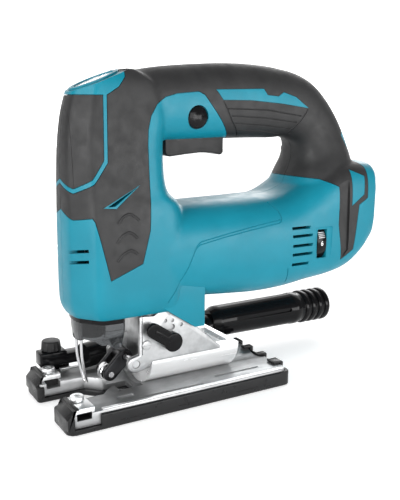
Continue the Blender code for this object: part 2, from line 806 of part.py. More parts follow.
def build_rotor():
    centre = (0, 0, MOTOR_Z)
    shaft = rod(centre, "X", GEAR_FRONT + GEAR_WIDTH, SHAFT_REAR, SHAFT_RADIUS, sides=16)
    finish(shaft, "motor_shaft", STEEL)
    turn = math.pi / 2 + math.pi / PINION_TEETH
    flat = [(a, b + MOTOR_Z) for a, b in gear_outline(PINION_TEETH, 0.36, turn)]
    pinion = plate(flat, "X", GEAR_FRONT - 1 * MM, GEAR_FRONT + GEAR_WIDTH - GAP)
    finish(pinion, "pinion", STEEL)
    core_bore = SHAFT_RADIUS + GAP
    core = tube(
        centre, "X", STATOR_FRONT - 1 * MM, STATOR_FRONT + STATOR_LENGTH + 1 * MM, core_bore, ROTOR_RADIUS
    )
    finish(core, "rotor_core", STEEL)
    back = FAN_FRONT + FAN_DEPTH
    fan = rod(centre, "X", back - 1.6 * MM, back, FAN_RADIUS, sides=24)
    join(fan, plate(vane_outline(core_bore + 3 * MM, FAN_RADIUS - 0.6 * MM), "X", FAN_FRONT, back - 1 * MM))
    cut(fan, rod(centre, "X", FAN_FRONT - 1 * MM, back + 1 * MM, core_bore, sides=16))
    finish(fan, "fan", BLACK)


def build_stator():
    centre = (0, 0, MOTOR_Z)
    front, rear = STATOR_FRONT, STATOR_FRONT + STATOR_LENGTH
    stator = tube(centre, "X", front + 5 * MM, rear - 5 * MM, ROTOR_RADIUS + AIR_GAP, STATOR_RADIUS)
    finish(stator, "stator", STEEL)
    for name, low, high in (
        ("winding_front", front, front + 5 * MM - GAP),
        ("winding_rear", rear - 5 * MM + GAP, rear),
    ):
        coil = tube(centre, "X", low, high, ROTOR_RADIUS + AIR_GAP + 1.5 * MM, STATOR_RADIUS - 2 * MM)
        finish(coil, name, COPPER)
    for name, low in (("bearing_front", 8 * MM), ("bearing_rear", SHAFT_REAR - BEARING_WIDTH - 2 * MM)):
        bearing = tube(centre, "X", low, low + BEARING_WIDTH, SHAFT_RADIUS + SPIN_GAP, BEARING_RADIUS, 20)
        finish(bearing, name, STEEL)


# ---------------------------------------------------------------- plunger and case


def yoke_front():
    return GEAR_FRONT - 12 * MM


def build_plunger():
    centre = gear_centre_z()
    slot_half = CRANK_PIN_RADIUS + YOKE_SLACK
    front = yoke_front()
    reach = CRANK_THROW + CRANK_PIN_RADIUS + 1 * MM
    yoke = block(
        (front, -reach - YOKE_SIDE, centre - slot_half - YOKE_RIM),
        (front + YOKE_DEPTH, reach + YOKE_SIDE, centre + slot_half + YOKE_RIM),
    )
    slot_low = (front - 1 * MM, -reach, centre - slot_half)
    cut(yoke, block(slot_low, (front + 9 * MM, reach, centre + slot_half)))
    neck_front = BLADE_X + PLUNGER_RADIUS - 1.5 * MM
    for z in (centre - slot_half - YOKE_RIM, centre + slot_half):
        join(yoke, block((neck_front, -3 * MM, z), (front + 1 * MM, 3 * MM, z + YOKE_RIM)))
    join(yoke, rod((BLADE_X, 0, 0), "Z", PLUNGER_LOW, PLUNGER_HIGH, PLUNGER_RADIUS, sides=24))
    finish(yoke, "plunger", STEEL)
    low = PLUNGER_LOW - 2 * MM
    top = low + BLADE_CLAMP_HEIGHT
    clamp = tube((BLADE_X, 0, 0), "Z", low, top, PLUNGER_RADIUS + SPIN_GAP, BLADE_CLAMP_RADIUS)
    tab_low = top - 5 * MM
    tab = block(
        (BLADE_X - 2 * MM, -BLADE_CLAMP_RADIUS - 4 * MM, tab_low),
        (BLADE_X + 2 * MM, -BLADE_CLAMP_RADIUS + 1 * MM, tab_low + 4 * MM),
    )
    finish(join(clamp, tab), "blade_clamp", BLACK)


def upper_shelf_z():
    """Under the top guide's shelf, clear of the yoke at the top of its stroke."""
    return gear_centre_z() + CRANK_THROW + CRANK_PIN_RADIUS + YOKE_SLACK + YOKE_RIM + 3 * MM


def build_guides():
    for name, z in (("lower_guide", LOWER_SHELF_Z), ("upper_guide", upper_shelf_z())):
        low, bore = z - 1 * MM, PLUNGER_RADIUS + SLIDE_GAP
        bush = tube((BLADE_X, 0, 0), "Z", low, low + GUIDE_HEIGHT, bore, GUIDE_RADIUS)
        finish(bush, name, STEEL)


def case_side_outline():
    """The gear case's left cheek, seen from the left."""
    arc = []
    for k in range(7):
        angle = math.radians(130 - 15 * k)
        arc.append((-7 + 14 * math.cos(angle), 46 + 14 * math.sin(angle)))
    points = [
        (-25.5, 33.5),
        (-33, 31.5),
        (-33.5, 25),
        (-28, 22.8),
        (-22, 24),
        (-17, 28),
        (32, 28),
        (32, 29.5),
        *reversed(arc),
        (-22, 57.5),
        (-25.5, 57.5),
    ]
    return outline_mm(points)


def build_gear_case():
    """One casting: bevel saddle, cheek, roller-arm ear, back wall and the two guide shelves."""
    case = rod((0, 0, TILT_Z), "X", SADDLE_FRONT, SADDLE_REAR, SADDLE_RADIUS, sides=40)
    cut(case, block((-40 * MM, -40 * MM, TILT_Z), (80 * MM, 40 * MM, 80 * MM)))
    core_rear = 6 * MM
    core_top = 60 * MM
    join(case, block((-20 * MM, -19 * MM, 23 * MM), (core_rear, 15 * MM, core_top)))
    join(case, plate(case_side_outline(), "Y", -SADDLE_RADIUS - 0.6 * MM, -18.6 * MM))
    ear = outline_mm([(-33, 31.5), (-33.5, 25), (-28, 22.8), (-19, 24), (-19, 40)])
    join(case, plate(ear, "Y", 8.5 * MM, 11.5 * MM))
    wall_front = GEAR_FRONT + GEAR_WIDTH + 1.5 * MM
    wall_top = upper_shelf_z() + SHELF_THICKNESS
    wall_low = core_top - 1 * MM
    join(case, block((wall_front, -SHELF_HALF, wall_low), (wall_front + 4.5 * MM, SHELF_HALF, wall_top)))
    for z in (LOWER_SHELF_Z, upper_shelf_z()):
        front = BLADE_X - GUIDE_RADIUS - 1.6 * MM
        half = SHELF_HALF - 0.3 * MM
        shelf = block((front, -half, z), (wall_front + 1 * MM, half, z + SHELF_THICKNESS - 0.2 * MM))
        join(case, shelf)
        cut(case, rod((BLADE_X, 0, 0), "Z", z - 3 * MM, z + 12 * MM, GUIDE_RADIUS + GAP, sides=24))
    bore = (0, 0, gear_centre_z())
    cut(case, rod(bore, "X", wall_front - 2 * MM, wall_front + 9 * MM, AXLE_RADIUS + SPIN_GAP))
    shaft_hole = SHAFT_RADIUS + 1.2 * MM
    cut(case, rod((0, 0, MOTOR_Z), "X", wall_front - 2 * MM, wall_front + 9 * MM, shaft_hole))
    cut(case, rod((LEVER_X, 0, LEVER_Z), "Y", -30 * MM, -8 * MM, CAM_RADIUS + SPIN_GAP))
    cut(case, rod((ARM_PIN_X, 0, ARM_PIN_Z), "Y", -30 * MM, 20 * MM, ARM_PIN_RADIUS + GAP))
    finish(case, "gear_case", ALLOY)


def build_blade_support():
    """The orbital lever, the swinging arm with its roller, and the wire guard in front."""
    cheek = -SADDLE_RADIUS - 0.6 * MM
    pivot = (LEVER_X, 0, LEVER_Z)
    cam = rod(pivot, "Y", cheek - 4.5 * MM, -9 * MM, CAM_RADIUS)
    cut(cam, block((LEVER_X - 9 * MM, -12.5 * MM, LEVER_Z), (LEVER_X + 9 * MM, -5 * MM, LEVER_Z + 9 * MM)))
    finish(cam, "orbital_cam", STEEL)
    hub_low, hub_high = cheek - 7.4 * MM, cheek - GAP
    lever = rod(pivot, "Y", hub_low, hub_high, LEVER_HUB_RADIUS)
    tip = Vector((LEVER_X - 13 * MM, 0, LEVER_Z + 9 * MM))
    along = (tip - Vector(pivot)).normalized()
    across = Vector((-along.z, 0, along.x)) * 4.6 * MM
    corners = [Vector(pivot) - across, tip - across, tip + across, Vector(pivot) + across]
    arm_low, arm_high = hub_low + 0.4 * MM, cheek - SPUR_THICKNESS - 4 * GAP
    join(lever, rod(tip, "Y", arm_low, arm_high, 4.6 * MM))
    join(lever, plate([(c.x, c.z) for c in corners], "Y", arm_low + 0.2 * MM, arm_high - 0.2 * MM))
    cut(lever, rod(pivot, "Y", cheek - 4.5 * MM - GAP, 0, CAM_RADIUS + GAP))
    finish(lever, "orbital_lever", BLACK)

    pin = (ARM_PIN_X, 0, ARM_PIN_Z)
    finish(rod(pin, "Y", cheek + 0.4 * MM, 11 * MM, ARM_PIN_RADIUS), "arm_pin", STEEL)
    hub_half = ROLLER_WIDTH / 2 + 3.6 * MM
    arm = rod(pin, "Y", -hub_half, hub_half, 4.6 * MM)
    wheel = (ROLLER_X, 0, ROLLER_Z)
    for side in (-1, 1):
        inner = ROLLER_WIDTH / 2 + 0.6 * MM
        low, high = sorted((side * inner, side * hub_half))
        half_arm = 3.4 * MM
        outline = [
            (ARM_PIN_X - half_arm, ARM_PIN_Z + half_arm),
            (ROLLER_X - half_arm, ROLLER_Z + half_arm),
            (ROLLER_X + half_arm, ROLLER_Z - half_arm),
            (ARM_PIN_X + half_arm, ARM_PIN_Z - half_arm),
        ]
        join(arm, rod(wheel, "Y", low, high, 4.4 * MM))
        join(arm, plate(outline, "Y", low + 0.25 * MM, high - 0.25 * MM))
    cut(arm, rod(pin, "Y", -30 * MM, 30 * MM, ARM_PIN_RADIUS + SPIN_GAP))
    cut(arm, rod(wheel, "Y", -30 * MM, 30 * MM, ROLLER_PIN_RADIUS + GAP))
    finish(arm, "roller_arm", BLACK)
    reach = hub_half + 0.8 * MM
    finish(rod(wheel, "Y", -reach, reach, ROLLER_PIN_RADIUS), "roller_pin", STEEL)
    half = ROLLER_WIDTH / 2
    bore = ROLLER_PIN_RADIUS + SPIN_GAP
    groove = ROLLER_RADIUS - 1.2 * MM
    profile = [
        (bore, -half),
        (ROLLER_RADIUS, -half),
        (ROLLER_RADIUS, -1 * MM),
        (groove, -0.6 * MM),
        (groove, 0.6 * MM),
        (ROLLER_RADIUS, 1 * MM),
        (ROLLER_RADIUS, half),
        (bore, half),
    ]
    finish(turned(profile, wheel, "Y", 20), "roller", STEEL)

    guard_x = BLADE_X - 9.2 * MM
    shelf = LOWER_SHELF_Z - GAP
    near = [
        (guard_x, -4 * MM, shelf),
        (guard_x, -4 * MM, 32 * MM),
        (guard_x + 3.2 * MM, -2.4 * MM, 17 * MM),
        (guard_x + 4 * MM, -1.2 * MM, 14 * MM),
    ]
    route = [*near, *[(x, -y, z) for x, y, z in reversed(near)]]
    finish(wire(route, 0.9 * MM), "wire_guard", STEEL)


def cover_loft(inset, extra):
    """The clear dust cover's form: straight inside the nose, then drawn in towards its mouth."""
    rings = []
    for z, setback, narrow in (
        (BELLY_Z + 14 * MM + extra, 2.8, 3.2),
        (BELLY_Z - 8 * MM, 2.8, 3.2),
        (BELLY_Z - 14 * MM, 2.8, 5.0),
        (BELLY_Z - 21 * MM - extra, 2.5, 9.5),
    ):
        front = NOSE_X + setback * MM + FOOT_WALL + COVER_GAP + inset
        rear = 8 * MM - WALL
        half = NOSE_HALF_WIDTH - narrow * MM - FOOT_WALL - COVER_GAP - inset
        ring = oval((rear - front) / 2, half, 2.6, 28)
        rings.append([((rear + front) / 2 + a, b, z) for a, b in ring])
    return loft(rings)


def build_dust_cover():
    cover = cut(cover_loft(0, 0), cover_loft(1.5 * MM, 2 * MM))
    cut(cover, block((-34.5 * MM, -40 * MM, 20 * MM), (30 * MM, 40 * MM, 90 * MM)))
    finish(cover, "dust_cover", CLEAR)


# ---------------------------------------------------------------- base, shoe and dust nozzle


def base_outline(margin, notch_rear):
    """The plan of the base: two toes, a blade notch and rounded corners."""
    half_length = SOLE_LENGTH / 2 - margin
    half_width = SOLE_WIDTH / 2 - margin
    corner = 5 * MM
    notch = TOE_GAP / 2 + margin
    slot = BLADE_SLOT / 2 + margin
    neck = notch_rear - 16 * MM
    near = [
        (-half_length, -half_width + corner),
        (-half_length + corner, -half_width),
        (half_length - corner, -half_width),
        (half_length, -half_width + corner),
    ]
    far = [(x, -y) for x, y in reversed(near)]
    mouth = [
        (-half_length, notch + 2 * MM),
        (-half_length + 2 * MM, notch),
        (neck - 9 * MM, notch),
        (neck, slot),
        (notch_rear, slot),
    ]
    return [*near, *far, *mouth, *[(x, -y) for x, y in reversed(mouth)]]


def boss_block(side):
    """The raised boss on a front toe that the rip fence's bar passes through."""
    outer = side * (SOLE_WIDTH / 2 - SHOE_MARGIN)
    low, high = sorted((outer, outer - side * BOSS_WIDTH))
    front = -SOLE_LENGTH / 2 + SHOE_MARGIN + 2 * MM
    return block((front, low, SHOE_RIM_HEIGHT + GAP), (front + BOSS_LENGTH, high, BOSS_TOP))


def fence_slot():
    """The cut across both toes for the rip fence's flat bar."""
    half = FENCE_SLOT_WIDTH / 2
    return block(
        (FENCE_SLOT_MIDDLE - half, -SOLE_WIDTH, FENCE_SLOT_LOW),
        (FENCE_SLOT_MIDDLE + half, SOLE_WIDTH, FENCE_SLOT_LOW + FENCE_SLOT_HEIGHT),
    )


def clamp_place(side):
    return (FENCE_SLOT_MIDDLE, side * (SOLE_WIDTH / 2 - SHOE_MARGIN - BOSS_WIDTH + 5.5 * MM), 0)


def build_base():
    floor = SHOE_FLOOR + GAP
    base = plate(base_outline(SHOE_MARGIN, NOTCH_REAR), "Z", floor, BASE_TOP)
    join(base, boss_block(-1), boss_block(1))
    trough = SADDLE_RADIUS + GAP
    cut(base, rod((0, 0, TILT_Z), "X", SADDLE_FRONT - 4 * MM, SOLE_LENGTH, trough, sides=40))
    relief = SADDLE_RADIUS + 2.6 * MM
    cut(base, rod((0, 0, TILT_Z), "X", ARM_PIN_X - 8 * MM, SADDLE_FRONT - 3 * MM, relief, sides=40))
    cut(base, fence_slot())
    groove_y = -SOLE_WIDTH / 2 + 13.5 * MM
    for side in (-1, 1):
        y = side * groove_y
        cut(base, block((26 * MM, y - 1.1 * MM, BASE_TOP - 0.8 * MM), (60 * MM, y + 1.1 * MM, 15 * MM)))
        x, y, _ = clamp_place(side)
        cut(base, rod((x, y, 0), "Z", SHOE_FLOOR + 9 * MM, 20 * MM, 2.2 * MM + GAP, sides=16))
    cut(base, rod((CLAMP_BOLT_X, 0, 0), "Z", -1 * MM, 12 * MM, CLAMP_BOLT_RADIUS + GAP))
    finish(base, "base", ALLOY)
    for side, name in ((-1, "fence_screw_left"), (1, "fence_screw_right")):
        x, y, _ = clamp_place(side)
        slot_top = FENCE_SLOT_LOW + FENCE_SLOT_HEIGHT
        screw = rod((x, y, 0), "Z", slot_top + GAP, BOSS_TOP + 2 * MM, 2.2 * MM, sides=16)
        join(screw, rod((x, y, 0), "Z", BOSS_TOP + GAP, BOSS_TOP + 3.4 * MM, 4 * MM))
        cut(screw, rod((x, y, 0), "Z", BOSS_TOP + 1.4 * MM, BOSS_TOP + 6 * MM, 2 * MM, sides=6))
        finish(screw, name, STEEL)
    bolt_top = TILT_Z - SADDLE_RADIUS - GAP - 0.4 * MM
    bolt = rod((CLAMP_BOLT_X, 0, 0), "Z", SHOE_FLOOR + 0.4 * MM, bolt_top, CLAMP_BOLT_RADIUS)
    cut(bolt, rod((CLAMP_BOLT_X, 0, 0), "Z", 0, SHOE_FLOOR + 2.4 * MM, 2.3 * MM, sides=6))
    finish(bolt, "base_clamp_bolt", STEEL)


def build_shoe():
    shoe = plate(base_outline(0, NOTCH_REAR - 3 * MM), "Z", 0, SHOE_RIM_HEIGHT)
    inner = plate(base_outline(SHOE_RIM_WALL, NOTCH_REAR), "Z", SHOE_FLOOR, SHOE_RIM_HEIGHT + 5 * MM)
    cut(shoe, inner, fence_slot())
    key_hole = CLAMP_BOLT_RADIUS + 1.5 * MM
    cut(shoe, rod((CLAMP_BOLT_X, 0, 0), "Z", -1 * MM, SHOE_FLOOR + 1 * MM, key_hole))
    half = SOLE_LENGTH / 2
    for y, reach in ((-24, 4), (-7.5, 2), (9, 2), (24, 4)):
        low, high = (y - reach) * MM, (y + reach) * MM
        corner = (half + 0.9 * MM, high, BASE_TOP + 1.8 * MM)
        join(shoe, block((half - SHOE_RIM_WALL, low, 2 * MM), corner))
        join(shoe, block((half - 7 * MM, low, BASE_TOP + GAP), corner))
    finish(shoe, "cover_shoe", BLACK)
    edge = BLADE_SLOT / 2
    insert = block(
        (NOTCH_REAR - 14 * MM, -edge + GAP, GAP), (NOTCH_REAR - 3.6 * MM, edge - GAP, SHOE_FLOOR + 0.4 * MM)
    )
    slit = block((NOTCH_REAR - 20 * MM, -0.8 * MM, -1 * MM), (NOTCH_REAR - 7 * MM, 0.8 * MM, 9 * MM))
    finish(cut(insert, slit), "splinter_guard", CLEAR)


def nozzle_tube():
    """The hose end: a plain barrel, then four raised ribs, round a straight bore."""
    bore = TUBE_RADIUS - TUBE_WALL
    neck = TUBE_RADIUS - 0.9 * MM
    profile = [(bore, TUBE_FRONT + 6 * MM), (bore, TUBE_REAR), (neck, TUBE_REAR)]
    rib = 6.4 * MM
    for k in range(4):
        rear = TUBE_REAR - 1.2 * MM - k * rib
        profile += [(TUBE_RADIUS + 0.3 * MM, rear), (TUBE_RADIUS, rear - 3.6 * MM), (neck, rear - 4.2 * MM)]
    last = TUBE_REAR - 1.2 * MM - 4 * rib
    profile += [(neck, last), (neck - 0.3 * MM, TUBE_FRONT + 2 * MM), (neck - 3 * MM, TUBE_FRONT)]
    profile += [(0.4 * MM, TUBE_FRONT), (0.4 * MM, TUBE_FRONT + 6 * MM)]
    return turned(profile, (0, TUBE_Y, TUBE_Z), "X", 24)


def build_nozzle():
    barrel_part = nozzle_tube()
    plug = rod((0, TUBE_Y, TUBE_Z), "X", TUBE_FRONT + 0.6 * MM, TUBE_FRONT + 5 * MM, 3 * MM, sides=12)
    join(barrel_part, plug)
    stops = [
        (TUBE_FRONT + 3 * MM, TUBE_Y, TUBE_Z - 2 * MM),
        (30 * MM, TUBE_Y - 1 * MM, TUBE_Z - 3.5 * MM),
        (-10 * MM, TUBE_Y - 3 * MM, TUBE_Z - 4.5 * MM),
        (-42 * MM, TUBE_Y - 8 * MM, TUBE_Z - 5 * MM),
    ]
    duct = wire(smooth_route([Vector(stop) for stop in stops], 4), DUCT_RADIUS, resolution=3)
    join(barrel_part, duct)
    front = KNOB_X - 9 * MM
    arm = block(
        (front, TUBE_Y - 6 * MM, BOSS_TOP + 0.9 * MM), (-38 * MM, TUBE_Y + 5 * MM, TUBE_Z - 3 * MM), 1 * MM
    )
    join(barrel_part, arm)
    foot_high = SHOE_RIM_HEIGHT + 8 * MM
    foot = block(
        (KNOB_X + 2 * MM, SOLE_WIDTH / 2 + GAP, 6 * MM), (KNOB_X + 13 * MM, TUBE_Y + 4.8 * MM, foot_high)
    )
    join(barrel_part, foot)
    finish(barrel_part, "dust_nozzle", BLACK)
    low = TUBE_Z - 3 * MM + GAP
    knob = rod((KNOB_X, TUBE_Y, 0), "Z", low, low + 7.5 * MM, KNOB_RADIUS, KNOB_RADIUS - 0.8 * MM, sides=18)
    finish(knob, "nozzle_knob", BLACK)


build_housing()
build_badge()
build_screws()
build_controls()
build_terminals()
build_crank()
build_rotor()
build_stator()
build_plunger()
build_guides()
build_gear_case()
build_blade_support()
build_dust_cover()
build_base()
build_shoe()
build_nozzle()
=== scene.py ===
from math import atan2, copysign, cos, hypot, pi, radians, sin

import bpy
import numpy as np
from mathutils import Matrix, Vector
from mathutils.bvhtree import BVHTree


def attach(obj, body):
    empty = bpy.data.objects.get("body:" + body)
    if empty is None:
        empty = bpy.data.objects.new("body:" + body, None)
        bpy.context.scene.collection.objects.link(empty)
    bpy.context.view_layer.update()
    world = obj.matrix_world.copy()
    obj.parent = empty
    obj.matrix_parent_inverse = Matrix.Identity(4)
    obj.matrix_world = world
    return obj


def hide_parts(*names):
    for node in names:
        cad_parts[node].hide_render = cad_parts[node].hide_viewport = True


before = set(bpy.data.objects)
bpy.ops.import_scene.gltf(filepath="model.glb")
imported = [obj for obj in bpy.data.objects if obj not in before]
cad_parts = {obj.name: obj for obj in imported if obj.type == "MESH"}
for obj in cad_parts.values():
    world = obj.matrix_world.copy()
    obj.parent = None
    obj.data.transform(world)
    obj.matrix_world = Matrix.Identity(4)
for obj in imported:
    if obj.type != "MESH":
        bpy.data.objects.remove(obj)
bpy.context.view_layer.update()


# ------------ Camera
# A normal lens at arm's length, a little above the handle and off the
# tool's left front corner.
bpy.ops.object.camera_add(location=(-0.19804, -0.37755, 0.18044))
camera = bpy.context.object
camera.name = "bench_camera"
turn, rise, roll = radians(31.02), radians(11.75), radians(0.56)
back = Vector((-sin(turn) * cos(rise), -cos(turn) * cos(rise), sin(rise)))
side = Vector((cos(turn), -sin(turn), 0))
up = back.cross(side)
level = side * cos(roll) + up * sin(roll)
upright = up * cos(roll) - side * sin(roll)
aim = Matrix((level, upright, back)).transposed().to_4x4()
camera.matrix_world = Matrix.Translation(camera.location) @ aim
camera.data.sensor_width = 36
camera.data.lens = 49.78
camera.data.clip_start = 0.01
bpy.context.scene.camera = camera


# ------------ Studio
# A pale paper floor in front of a lit wall. Soft boxes stand off the nose,
# behind the camera and along the left side, and a weak one at the rear.
def area_lamp(name, place, look_at, size, power, size_y=None):
    bpy.ops.object.light_add(type="AREA", location=place)
    lamp = bpy.context.object
    lamp.name = name
    lamp.rotation_euler = (Vector(look_at) - Vector(place)).to_track_quat("-Z", "Y").to_euler()
    lamp.data.shape = "RECTANGLE"
    lamp.data.size = size
    lamp.data.size_y = size_y or size
    lamp.data.energy = power
    return lamp


area_lamp("softbox_nose", (-0.95, -0.35, 0.32), (-0.02, 0, 0.11), 0.5, 11.0, 0.9)
area_lamp("softbox_camera", (-0.15, -1.15, 0.30), (0.03, 0, 0.08), 0.9, 7.0, 0.5)
area_lamp("softbox_side", (0.50, -0.98, 0.17), (0.03, 0, 0.07), 0.7, 6.0, 0.35)
area_lamp("softbox_rear", (0.75, 0.65, 0.55), (0.03, 0, 0.10), 0.5, 3.0)
world = bpy.data.worlds.new("dim_room")
world.use_nodes = True
world.node_tree.nodes["Background"].inputs["Color"].default_value = (1, 1, 1, 1)
world.node_tree.nodes["Background"].inputs["Strength"].default_value = 0.30
bpy.context.scene.world = world
bpy.context.scene.view_settings.view_transform = "Standard"


def matte_sheet(name, look_name, grey, roughness, glow, **plane):
    """A flat sheet that stands round the tool, with a glow of its own."""
    bpy.ops.mesh.primitive_plane_add(**plane)
    sheet = bpy.context.object
    sheet.name = name
    look = bpy.data.materials.new(look_name)
    look.use_nodes = True
    shader = look.node_tree.nodes["Principled BSDF"]
    shader.inputs["Base Color"].default_value = (grey, grey, grey, 1)
    shader.inputs["Roughness"].default_value = roughness
    shader.inputs["Emission Color"].default_value = (1, 1, 1, 1)
    shader.inputs["Emission Strength"].default_value = glow
    sheet.data.materials.append(look)
    return sheet


FLOOR_GAP = 0.0004
WALL = {"size": 6, "location": (1.35, 2.2, 2.6), "rotation": (pi / 2, 0, -0.54)}
paper = matte_sheet("paper", "pale_paper", 0.80, 0.9, 0.45, size=8, location=(0, 0, -FLOOR_GAP))
light_wall = matte_sheet("light_wall", "lit_wall", 0.9, 0.5, 1.0, **WALL)
light_wall.scale = (1.6, 1, 1)


# ------------ Housing shells
# Two clamshells moulded in teal glass-filled nylon, screwed together down
# the middle. The elastomer of the grip is moulded over them in a second
# shot, so it lies flush with a thin witness groove round it.
MM = 0.001
HANDS = ((-1, "left"), (1, "right"))


def work_on(piece):
    bpy.ops.object.select_all(action="DESELECT")
    piece.select_set(True)
    bpy.context.view_layer.objects.active = piece
    return piece


def press(piece, kind, **settings):
    """Adds one modifier and applies it."""
    work_on(piece)
    step = piece.modifiers.new(kind.lower(), kind)
    for name, value in settings.items():
        setattr(step, name, value)
    bpy.ops.object.modifier_apply(modifier=step.name)
    return piece


def twin(piece):
    """A copy with its own mesh."""
    other = piece.copy()
    other.data = piece.data.copy()
    bpy.context.scene.collection.objects.link(other)
    return other


def scrap(*pieces):
    for piece in pieces:
        bpy.data.objects.remove(piece)


def combine(piece, tool, operation="DIFFERENCE", keep=False, solver="MANIFOLD"):
    """Cuts, joins or crops a solid with another one."""
    spare = twin(piece) if solver == "MANIFOLD" else None
    press(piece, "BOOLEAN", object=tool, operation=operation, solver=solver)
    if spare and not len(piece.data.polygons):
        piece.data = spare.data
        press(piece, "BOOLEAN", object=tool, operation=operation, solver="EXACT")
    if spare:
        scrap(spare)
    if not keep:
        scrap(tool)
    return piece


def mesh_piece(name, spots, edges, faces):
    """A new object from points in millimetres."""
    mesh = bpy.data.meshes.new(name)
    mesh.from_pydata([[c * MM for c in spot] for spot in spots], edges, faces)
    piece = bpy.data.objects.new(name, mesh)
    bpy.context.scene.collection.objects.link(piece)
    return work_on(piece)


def in_edit_mode(piece, *steps):
    """Runs mesh operators on everything in the piece."""
    work_on(piece)
    bpy.ops.object.mode_set(mode="EDIT")
    for operator, settings in steps:
        bpy.ops.mesh.select_all(action="SELECT")
        operator(**settings)
    bpy.ops.object.mode_set(mode="OBJECT")
    return piece


def weld(threshold):
    return bpy.ops.mesh.remove_doubles, {"threshold": threshold}


FACES_OUT = (bpy.ops.mesh.normals_make_consistent, {"inside": False})


def settle(piece):
    """Leaves the object at the origin with its place in its mesh."""
    work_on(piece)
    bpy.ops.object.transform_apply(location=True, rotation=True, scale=True)
    return piece


def block(low, high, bevel=0.0):
    """A rectangular solid in millimetres."""
    middle = [(a + b) / 2 * MM for a, b in zip(low, high)]
    bpy.ops.mesh.primitive_cube_add(size=1, location=middle, scale=[(b - a) * MM for a, b in zip(low, high)])
    piece = settle(bpy.context.object)
    if bevel:
        press(piece, "BEVEL", width=bevel * MM, segments=3, limit_method="NONE")
    return piece


def side_block(hand, low, high, bevel=0.0):
    """A block given for the right side (hand 1), or its mirror image on the left (hand -1)."""
    near, far = sorted((hand * low[1], hand * high[1]))
    return block((low[0], near, low[2]), (high[0], far, high[2]), bevel)


def bar(centre, axis, low, high, radius, far_radius=None, sides=64, bevel=0.0):
    """A round solid along X, Y or Z in millimetres. The far radius is at its high end."""
    place = [c * MM for c in centre]
    place["XYZ".index(axis)] = (low + high) / 2 * MM
    turns = {"X": (0, pi / 2, 0), "Y": (-pi / 2, 0, 0), "Z": (0, 0, 0)}
    bpy.ops.mesh.primitive_cone_add(
        vertices=sides,
        radius1=radius * MM,
        radius2=(radius if far_radius is None else far_radius) * MM,
        depth=(high - low) * MM,
        location=place,
        rotation=turns[axis],
    )
    piece = settle(bpy.context.object)
    if bevel:
        edge_break(piece, bevel, 50, 3)
    return piece


def prism(points, axis, low, high, bevel=0.0, segments=2):
    """A flat outline drawn across an axis and extruded from low to high, in millimetres."""
    spot = {"X": lambda a, b: (low, a, b), "Y": lambda a, b: (a, low, b), "Z": lambda a, b: (a, b, low)}[axis]
    piece = mesh_piece("outline", [spot(a, b) for a, b in points], [], [list(range(len(points)))])
    along = [0, 0, 0]
    along["XYZ".index(axis)] = (high - low) * MM
    extrude = (bpy.ops.mesh.extrude_region_move, {"TRANSFORM_OT_translate": {"value": along}})
    in_edit_mode(piece, extrude, FACES_OUT)
    if bevel:
        edge_break(piece, bevel, 25, segments)
    return piece


def edge_break(piece, width, angle=40, segments=2):
    """Rounds every edge that is sharper than an angle in degrees."""
    sharp = radians(angle)
    return press(piece, "BEVEL", width=width * MM, segments=segments, limit_method="ANGLE", angle_limit=sharp)


def rope(points, radius, resolution=4):
    """A round wire along points in metres, closed at its ends."""
    curve = bpy.data.curves.new("wire", "CURVE")
    curve.dimensions = "3D"
    curve.bevel_depth = radius * MM
    curve.bevel_resolution = resolution
    curve.use_fill_caps = True
    spline = curve.splines.new("NURBS")
    spline.points.add(len(points) - 1)
    for knot, point in zip(spline.points, points):
        knot.co = (*point, 1)
    spline.order_u = 3
    spline.use_endpoint_u = True
    spline.resolution_u = 6
    drawn = bpy.data.objects.new("wire", curve)
    bpy.context.scene.collection.objects.link(drawn)
    work_on(drawn)
    bpy.ops.object.convert(target="MESH")
    return in_edit_mode(bpy.context.object, weld(0.00001), FACES_OUT)


def filled_rows(rows, steps):
    """Rows of numbers filled in along a smooth curve through the given ones."""
    rows = np.array(rows, float)
    ends = np.vstack([2 * rows[0] - rows[1], rows, 2 * rows[-1] - rows[-2]])
    filled = []
    for i in range(1, len(ends) - 2):
        a, b, c, d = ends[i - 1 : i + 3]
        square, cube = 2 * a - 5 * b + 4 * c - d, 3 * b - a - 3 * c + d
        for k in range(steps):
            t = k / steps
            filled.append(0.5 * (2 * b + (c - a) * t + square * t**2 + cube * t**3))
    filled.append(rows[-1])
    return filled


def rounded(half_a, half_b, power, count=72):
    """An oval that gets squarer as the power goes up from 2."""
    spots = []
    for k in range(count):
        angle = 2 * pi * k / count
        c, s = cos(angle), sin(angle)
        a, b = abs(c) ** (2 / power), abs(s) ** (2 / power)
        spots.append((half_a * copysign(a, c), half_b * copysign(b, s)))
    return spots


def skin_over(rings, name):
    """A closed skin through rings of points given in millimetres."""
    count = len(rings[0])
    faces = []
    for r in range(len(rings) - 1):
        for i in range(count):
            j = (i + 1) % count
            faces.append((r * count + i, r * count + j, (r + 1) * count + j, (r + 1) * count + i))
    faces.append(list(range(count)))
    faces.append([(len(rings) - 1) * count + i for i in range(count)])
    return in_edit_mode(mesh_piece(name, [point for ring in rings for point in ring], [], faces), FACES_OUT)


def one_skin(piece, step):
    """Rebuilds everything in the piece as one closed skin."""
    piece.data.remesh_voxel_size = step
    work_on(piece)
    bpy.ops.object.voxel_remesh()
    return piece


def join_all(pieces):
    bpy.ops.object.select_all(action="DESELECT")
    for piece in pieces:
        piece.select_set(True)
    bpy.context.view_layer.objects.active = pieces[0]
    bpy.ops.object.join()
    return bpy.context.object


